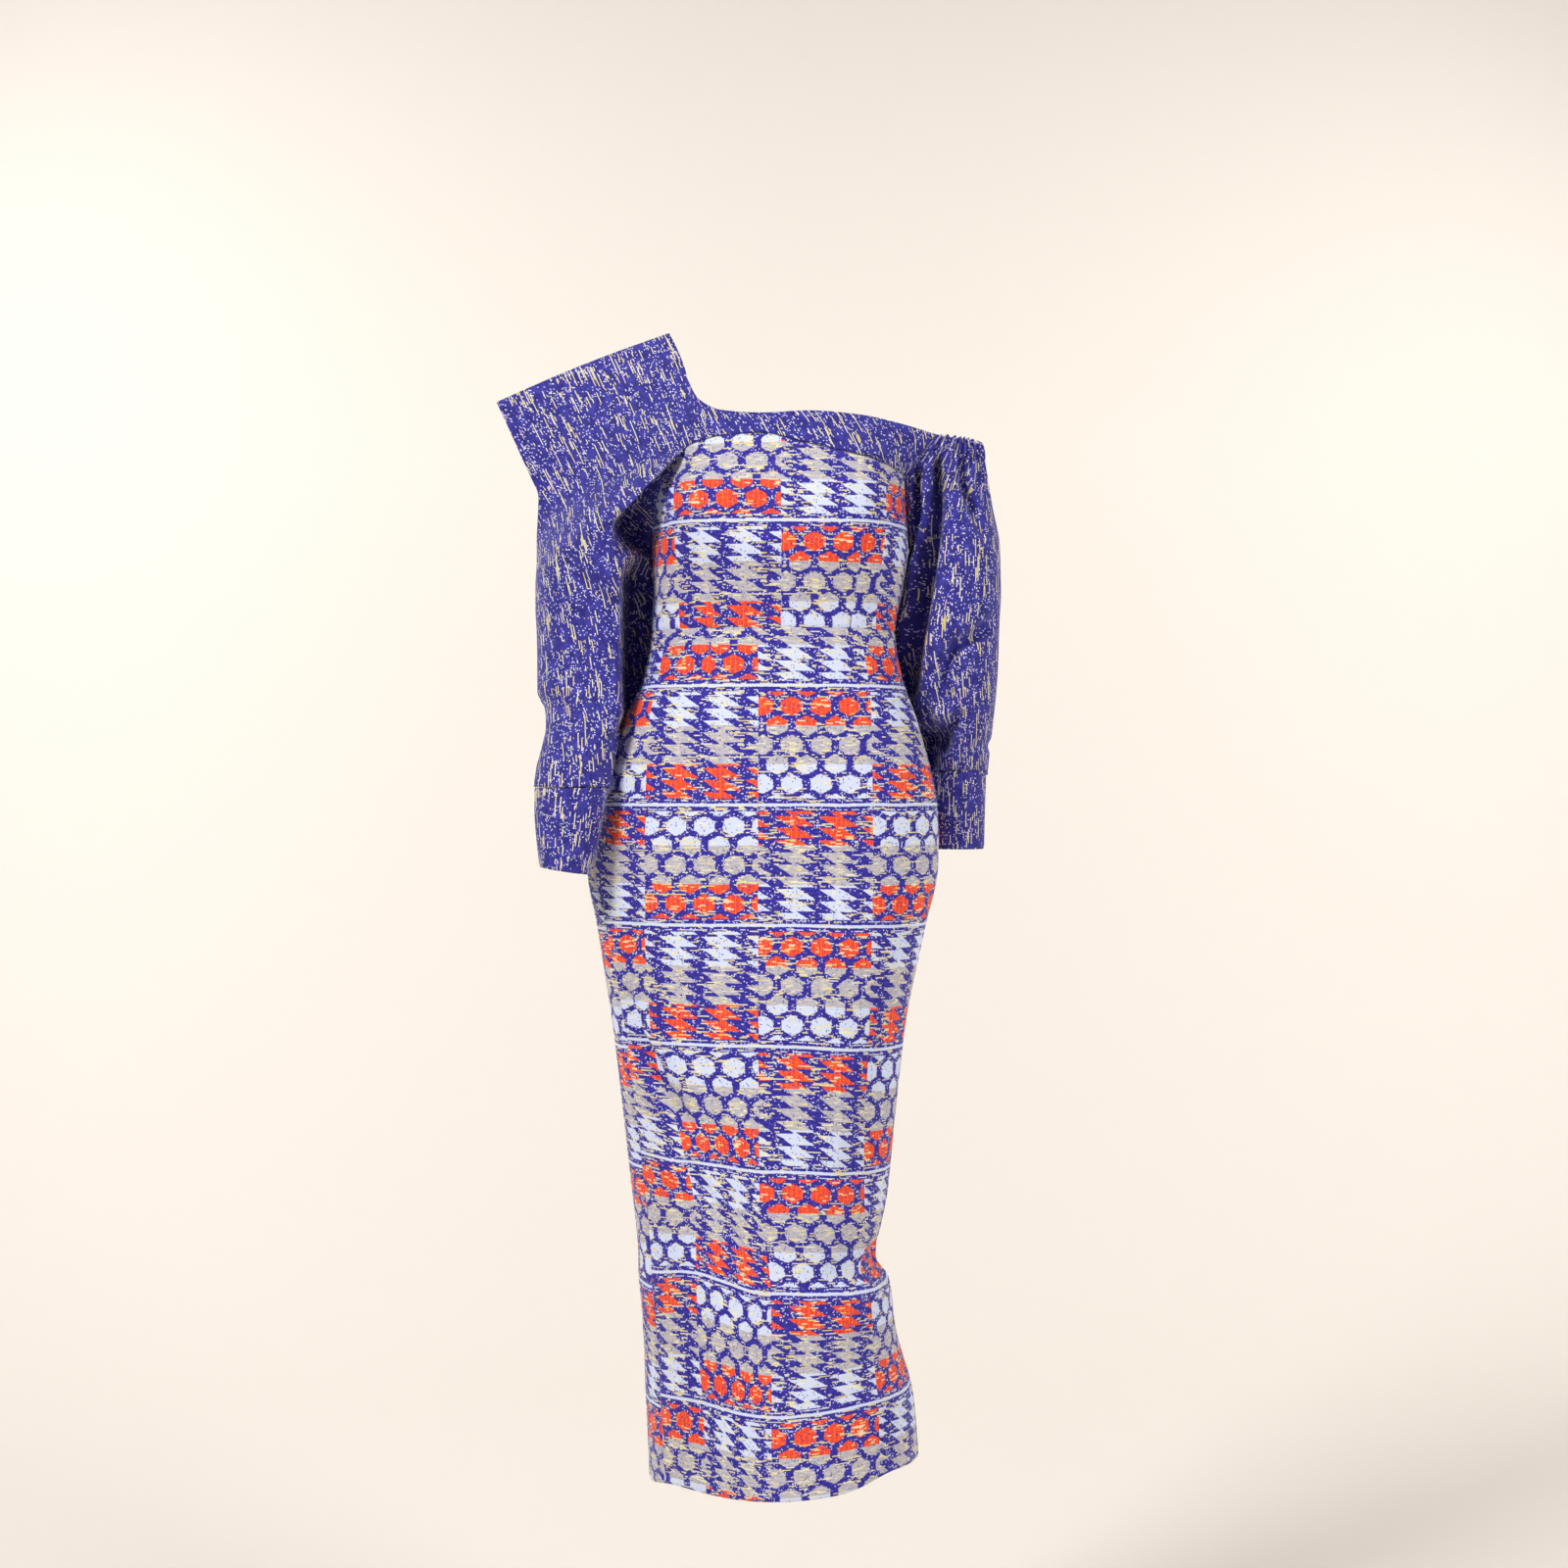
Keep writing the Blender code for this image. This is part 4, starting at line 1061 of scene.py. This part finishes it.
# The left sleeve. A long sleeve whose head is gathered on elastic in a narrow casing and
# sits off the shoulder; it is sewn to the end of the neck band and into the left armhole.
GATHERS = 24
GATHER_DEPTH = 0.0024
GATHER_RISE = 0.0012  # how far each gather lifts the sleeve's top edge
GATHER_DRIFT = 1.6  # how uneven the gathers are, and in how many waves round the arm
DRIFT_WAVES = 5
CASING_BULGE = 0.0016
FOLD_STEEPNESS = 1.35
FOLD_ROUNDING = 2.5  # how soon a fold at the sleeve's side turns to go straight in
SEAM_FADE = 0.03
GATHERS_END = -0.2  # the height where they have smoothed out
SLEEVE_HEAD_DROP = 0.005
LEFT_OPEN_TURN = 79.0  # half the opening towards the body at the sleeve's top
LEFT_EASE = 0.24
GATHER_START = 1 / 20
CREASE_START = 0.012
FOLD_ACROSS = 0.55  # how much a deep fold moves the cloth sideways as it goes in
INNER_SHIFT = 0.0075  # how far the inner side reaches behind the waist
INNER_BACK = 0.016
INNER_TURN = 36.0
INNER_FADE = 0.04
CASING_TOP = -0.108
CASING_FOOT = -0.125
LEFT_SLEEVE_FOOT = -0.461
SLEEVE_COLUMNS = GATHERS * 10

LEFT_ARM = table(
    "height centre_x half_width forward half_depth",
    (-461, 333, 31.6, 50, 40),
    (-449, 331.7, 33.7, 46, 44),
    (-412, 328.7, 39.9, 34, 52),
    (-370, 323.6, 48.2, 22, 57),
    (-328, 319.3, 53.8, 14, 60),
    (-307, 319.9, 53.5, 10, 60),
    (-266, 324.5, 50, 3, 59),
    (-224, 324.6, 48.6, 0, 58),
    (-182, 319.5, 46.2, 0, 57),
    (-161, 316.3, 45.1, 0, 56),
    (-130, 312.1, 43.6, 0, 52),
    (-108, 310, 42, 0, 47),
)
# The left sleeve's creases in millimetres, on the front, -1, and the back, 1. Each is a
# line of points with their x, height, depth and reach.
LEFT_CREASES = (
    (-1, (304.5, -128, 22, 5.2), (305, -150, 30, 6.6), (300.5, -188, 35, 8.2), (292.5, -235, 37, 9),
        (284, -283, 37, 10), (274.5, -333, 33, 11.5), (273.5, -372, 18, 10)),
    (-1, (282.1, -146, 16, 3.6), (281, -188, 18, 3.8), (278, -213, 12, 3.6), (276.5, -233, 4, 3.4)),
    (-1, (330, -132, 10, 5), (331, -155, 16, 5.8), (336, -172, 16, 6), (343, -190, 11, 5.8),
        (350, -210, 3, 5.5)),
    (-1, (364, -301, 5, 6), (348, -316, 13, 7.2), (336, -324, 17, 8), (323, -330, 19, 8.5),
        (316, -340, 18, 8.6), (312, -362, 14, 8.4), (309.5, -390, 7, 8)),
    (-1, (295, -386, 4, 5), (297.5, -412, 12, 6.4), (295, -426, 30, 12.5), (310, -426, 32, 13.5),
        (318, -415, 18, 8.5), (328, -404, 8, 6)),
    (-1, (298, -430, 26, 12), (298.5, -452, 12, 9)),
    (-1, (306, -402, -6, 8), (310, -404, -6, 8)),
    (-1, (283.5, -205, -3, 4), (279.5, -245, -7, 4.2), (274.5, -290, -3, 4)),
    (-1, (365, -434, 5, 6), (348, -438, 3, 6)),
    (1, (365, -434, 5, 6), (348, -438, 5, 6)),
    (1, (306, -135, 12, 7), (308, -200, 14, 9)),
    (1, (338, -135, 12, 8), (345, -185, 6, 8)),
    (1, (360, -318, 6, 8), (310, -345, 14, 10)),
    (1, (360, -450, 10, 8), (320, -436, 6, 8)),
)


def chained(creases):
    """Return a table of folds that join the points of each crease in turn."""
    names = "side start_x start_height depth reach end_x end_height end_depth end_reach"
    return table(names, *(
        (side, *start, *end) for side, *points in creases for start, end in zip(points, points[1:])
    ))


def arm_ring(part, height, rows=LEFT_ARM, opening=0.0):
    """Return points round an arm, from the side on the wearer's right and on by the front."""
    size = columns_at(height, rows)
    angle = np.radians(opening + (360 - 2 * opening) * part)
    outward = np.stack((-np.cos(angle), -np.sin(angle)), -1)
    x = size["centre_x"] + size["half_width"] * outward[..., 0]
    return x, size["forward"] + size["half_depth"] * outward[..., 1], outward


def left_edge(height, side):
    """Return the left sleeve's edge, along the band's end and then the left armhole."""
    armhole = bodice_edge(armhole_turn(height, right=False), side)
    armhole[..., 2] = height
    corner = bodice_edge(BAND_END_TURN, side)
    top = np.array([BAND_TOP[name][-1] for name in ("x", "forward", "height")])
    top = top * (1, 1 if side < 0 else -BACK_BAND_DEPTH, 1)
    up = np.clip((height - corner[2]) / (top[2] - corner[2]), 0, 1)[..., None]
    return np.where(up > 0, mix(corner, top, up) + (SEAM, 0, 0), armhole)


def left_sleeve_points(top, foot, rows):
    """Return rings of the left sleeve, open towards the body above the underarm."""
    heights = np.linspace(top, foot, rows + 1)
    part, level = np.meshgrid(np.linspace(0, 1, SLEEVE_COLUMNS + 1), heights)
    opening = LEFT_OPEN_TURN * fade(level, UNDERARM, CASING_TOP)
    x, y, outward = arm_ring(part, level, opening=opening)
    for side, place, near in ((-1, 0.0, part), (1, 1.0, 1 - part)):
        end_x, end_y, _ = arm_ring(np.full(part.shape, place), level, opening=opening)
        edge = left_edge(level, side)
        ease = (1 - fade(near, 0, LEFT_EASE)) * (level >= UNDERARM)
        x = x + (edge[..., 0] - end_x) * ease
        y = y + (edge[..., 1] - end_y) * ease
    to_seam = np.minimum(part, 1 - part)
    off_seam = fade(to_seam, 0, SEAM_FADE)
    inner = np.exp(-((to_seam * 360 / INNER_TURN) ** 2)) * fade(level, UNDERARM, UNDERARM - INNER_FADE)
    inner = inner * fade(level, LEFT_SLEEVE_FOOT, LEFT_SLEEVE_FOOT + INNER_FADE)
    x = x - INNER_SHIFT * inner
    y = y + INNER_BACK * inner
    gather = np.cos(2 * np.pi * GATHERS * part + GATHER_DRIFT * np.sin(2 * np.pi * DRIFT_WAVES * part))
    gather = gather * np.clip(to_seam / GATHER_START, 0, 1)
    wave = gather * GATHER_DEPTH * fade(level, GATHERS_END, CASING_FOOT)
    in_casing = np.clip((level - CASING_FOOT) / (CASING_TOP - CASING_FOOT), 0, 1)
    wave = wave + CASING_BULGE * np.sqrt(np.sin(np.pi * in_casing)) * off_seam
    fold = dent(chained(LEFT_CREASES), x, outward[..., 1], level, FOLD_STEEPNESS)
    fold = fold * fade(level, CASING_FOOT, CASING_FOOT - CREASE_START) * off_seam
    drop = SLEEVE_HEAD_DROP * np.sin(np.pi * part) * fade(level, GATHERS_END, CASING_TOP)
    drop = drop - GATHER_RISE * gather * fade(level, CASING_FOOT, CASING_TOP)
    x = x + (wave - fold * FOLD_ACROSS) * outward[..., 0]
    y = y + wave * outward[..., 1] - fold * np.clip(outward[..., 1] * FOLD_ROUNDING, -1, 1)
    return np.stack((x, y, level - drop), -1)


def sleeve_places(points, width):
    """Return places on a sleeve's cloth of some width, whose grain runs down the arm."""
    part = np.broadcast_to(np.linspace(-0.5, 0.5, points.shape[1]), points.shape[:2])
    return np.stack((part * width, points[..., 2]), -1)


SLEEVE_WIDTH = 0.32
HEAD_ROWS = 8
SLEEVE_ROWS = 149
OPEN_FADE = 0.004
points = left_sleeve_points(CASING_TOP, CASING_FOOT, HEAD_ROWS)
points = with_allowance(with_allowance(points, "first"), "last")
grids = [(points, sleeve_places(points, SLEEVE_WIDTH))]
cloth_piece("sleeve_head_left", plain_cloth, grids)
points = left_sleeve_points(CASING_FOOT, LEFT_SLEEVE_FOOT, SLEEVE_ROWS)
open_rows = fade(points[:, 0, 2], UNDERARM - OPEN_FADE, UNDERARM)
for edge in ("first", "last"):
    points = with_allowance(points, edge, open_rows)
points = with_allowance(points, "foot")
grids = [(points, sleeve_places(points, SLEEVE_WIDTH))]
cloth_piece("sleeve_left", plain_cloth, grids)


# The cuffs. Plain tubes of the streaked cloth, a little narrower than the sleeves that
# they finish, each with one seam, on the side towards the wearer's right.
RIGHT_CUFF = table(
    "height centre_x half_width forward half_depth",
    (-480.2, -78.5, 40.5, -68, 37),
    (-485, -79.5, 38.4, -69.5, 36),
    (-507, -81.5, 36.2, -74, 34),
    (-538, -83.5, 31.5, -79, 30),
    (-566, -85.5, 26.1, -82, 27),
)
LEFT_CUFF = table(
    "height centre_x half_width forward half_depth",
    (-461.7, 332.7, 31.6, 50, 40),
    (-467, 331, 31.6, 51, 39),
    (-506, 331, 30.9, 56, 35),
    (-547, 331.1, 30.1, 60, 32),
)
CUFF_TILT = 0.004  # how much lower the right cuff's outer side ends
CUFF_WIDTH = 0.22
CUFF_COLUMNS = 96
CUFF_ROW_STEP = 0.003
CUFF_EDGE = 0.5  # how much the turned lower edge dips, as a share of a seam's dip


def cuff_points(rows, tilt):
    """Return the rings of a cuff, from the sleeve down."""
    top, foot = rows["height"][[0, -1]]
    heights = top - (top - foot) * stops(top - foot, CUFF_ROW_STEP)
    part, level = np.meshgrid(np.linspace(0, 1, CUFF_COLUMNS + 1), heights)
    x, y, outward = arm_ring(part, level, rows)
    level = level - tilt * fade(level, top, foot) * outward[..., 0]
    return tucked(np.stack((x, y, level), -1), 1, CUFF_EDGE)


for name, rows, tilt in (("right", RIGHT_CUFF, CUFF_TILT), ("left", LEFT_CUFF, 0.0)):
    points = cuff_points(rows, tilt)
    grids = [(points, sleeve_places(points, CUFF_WIDTH))]
    cloth_piece(f"cuff_{name}", plain_cloth, grids)
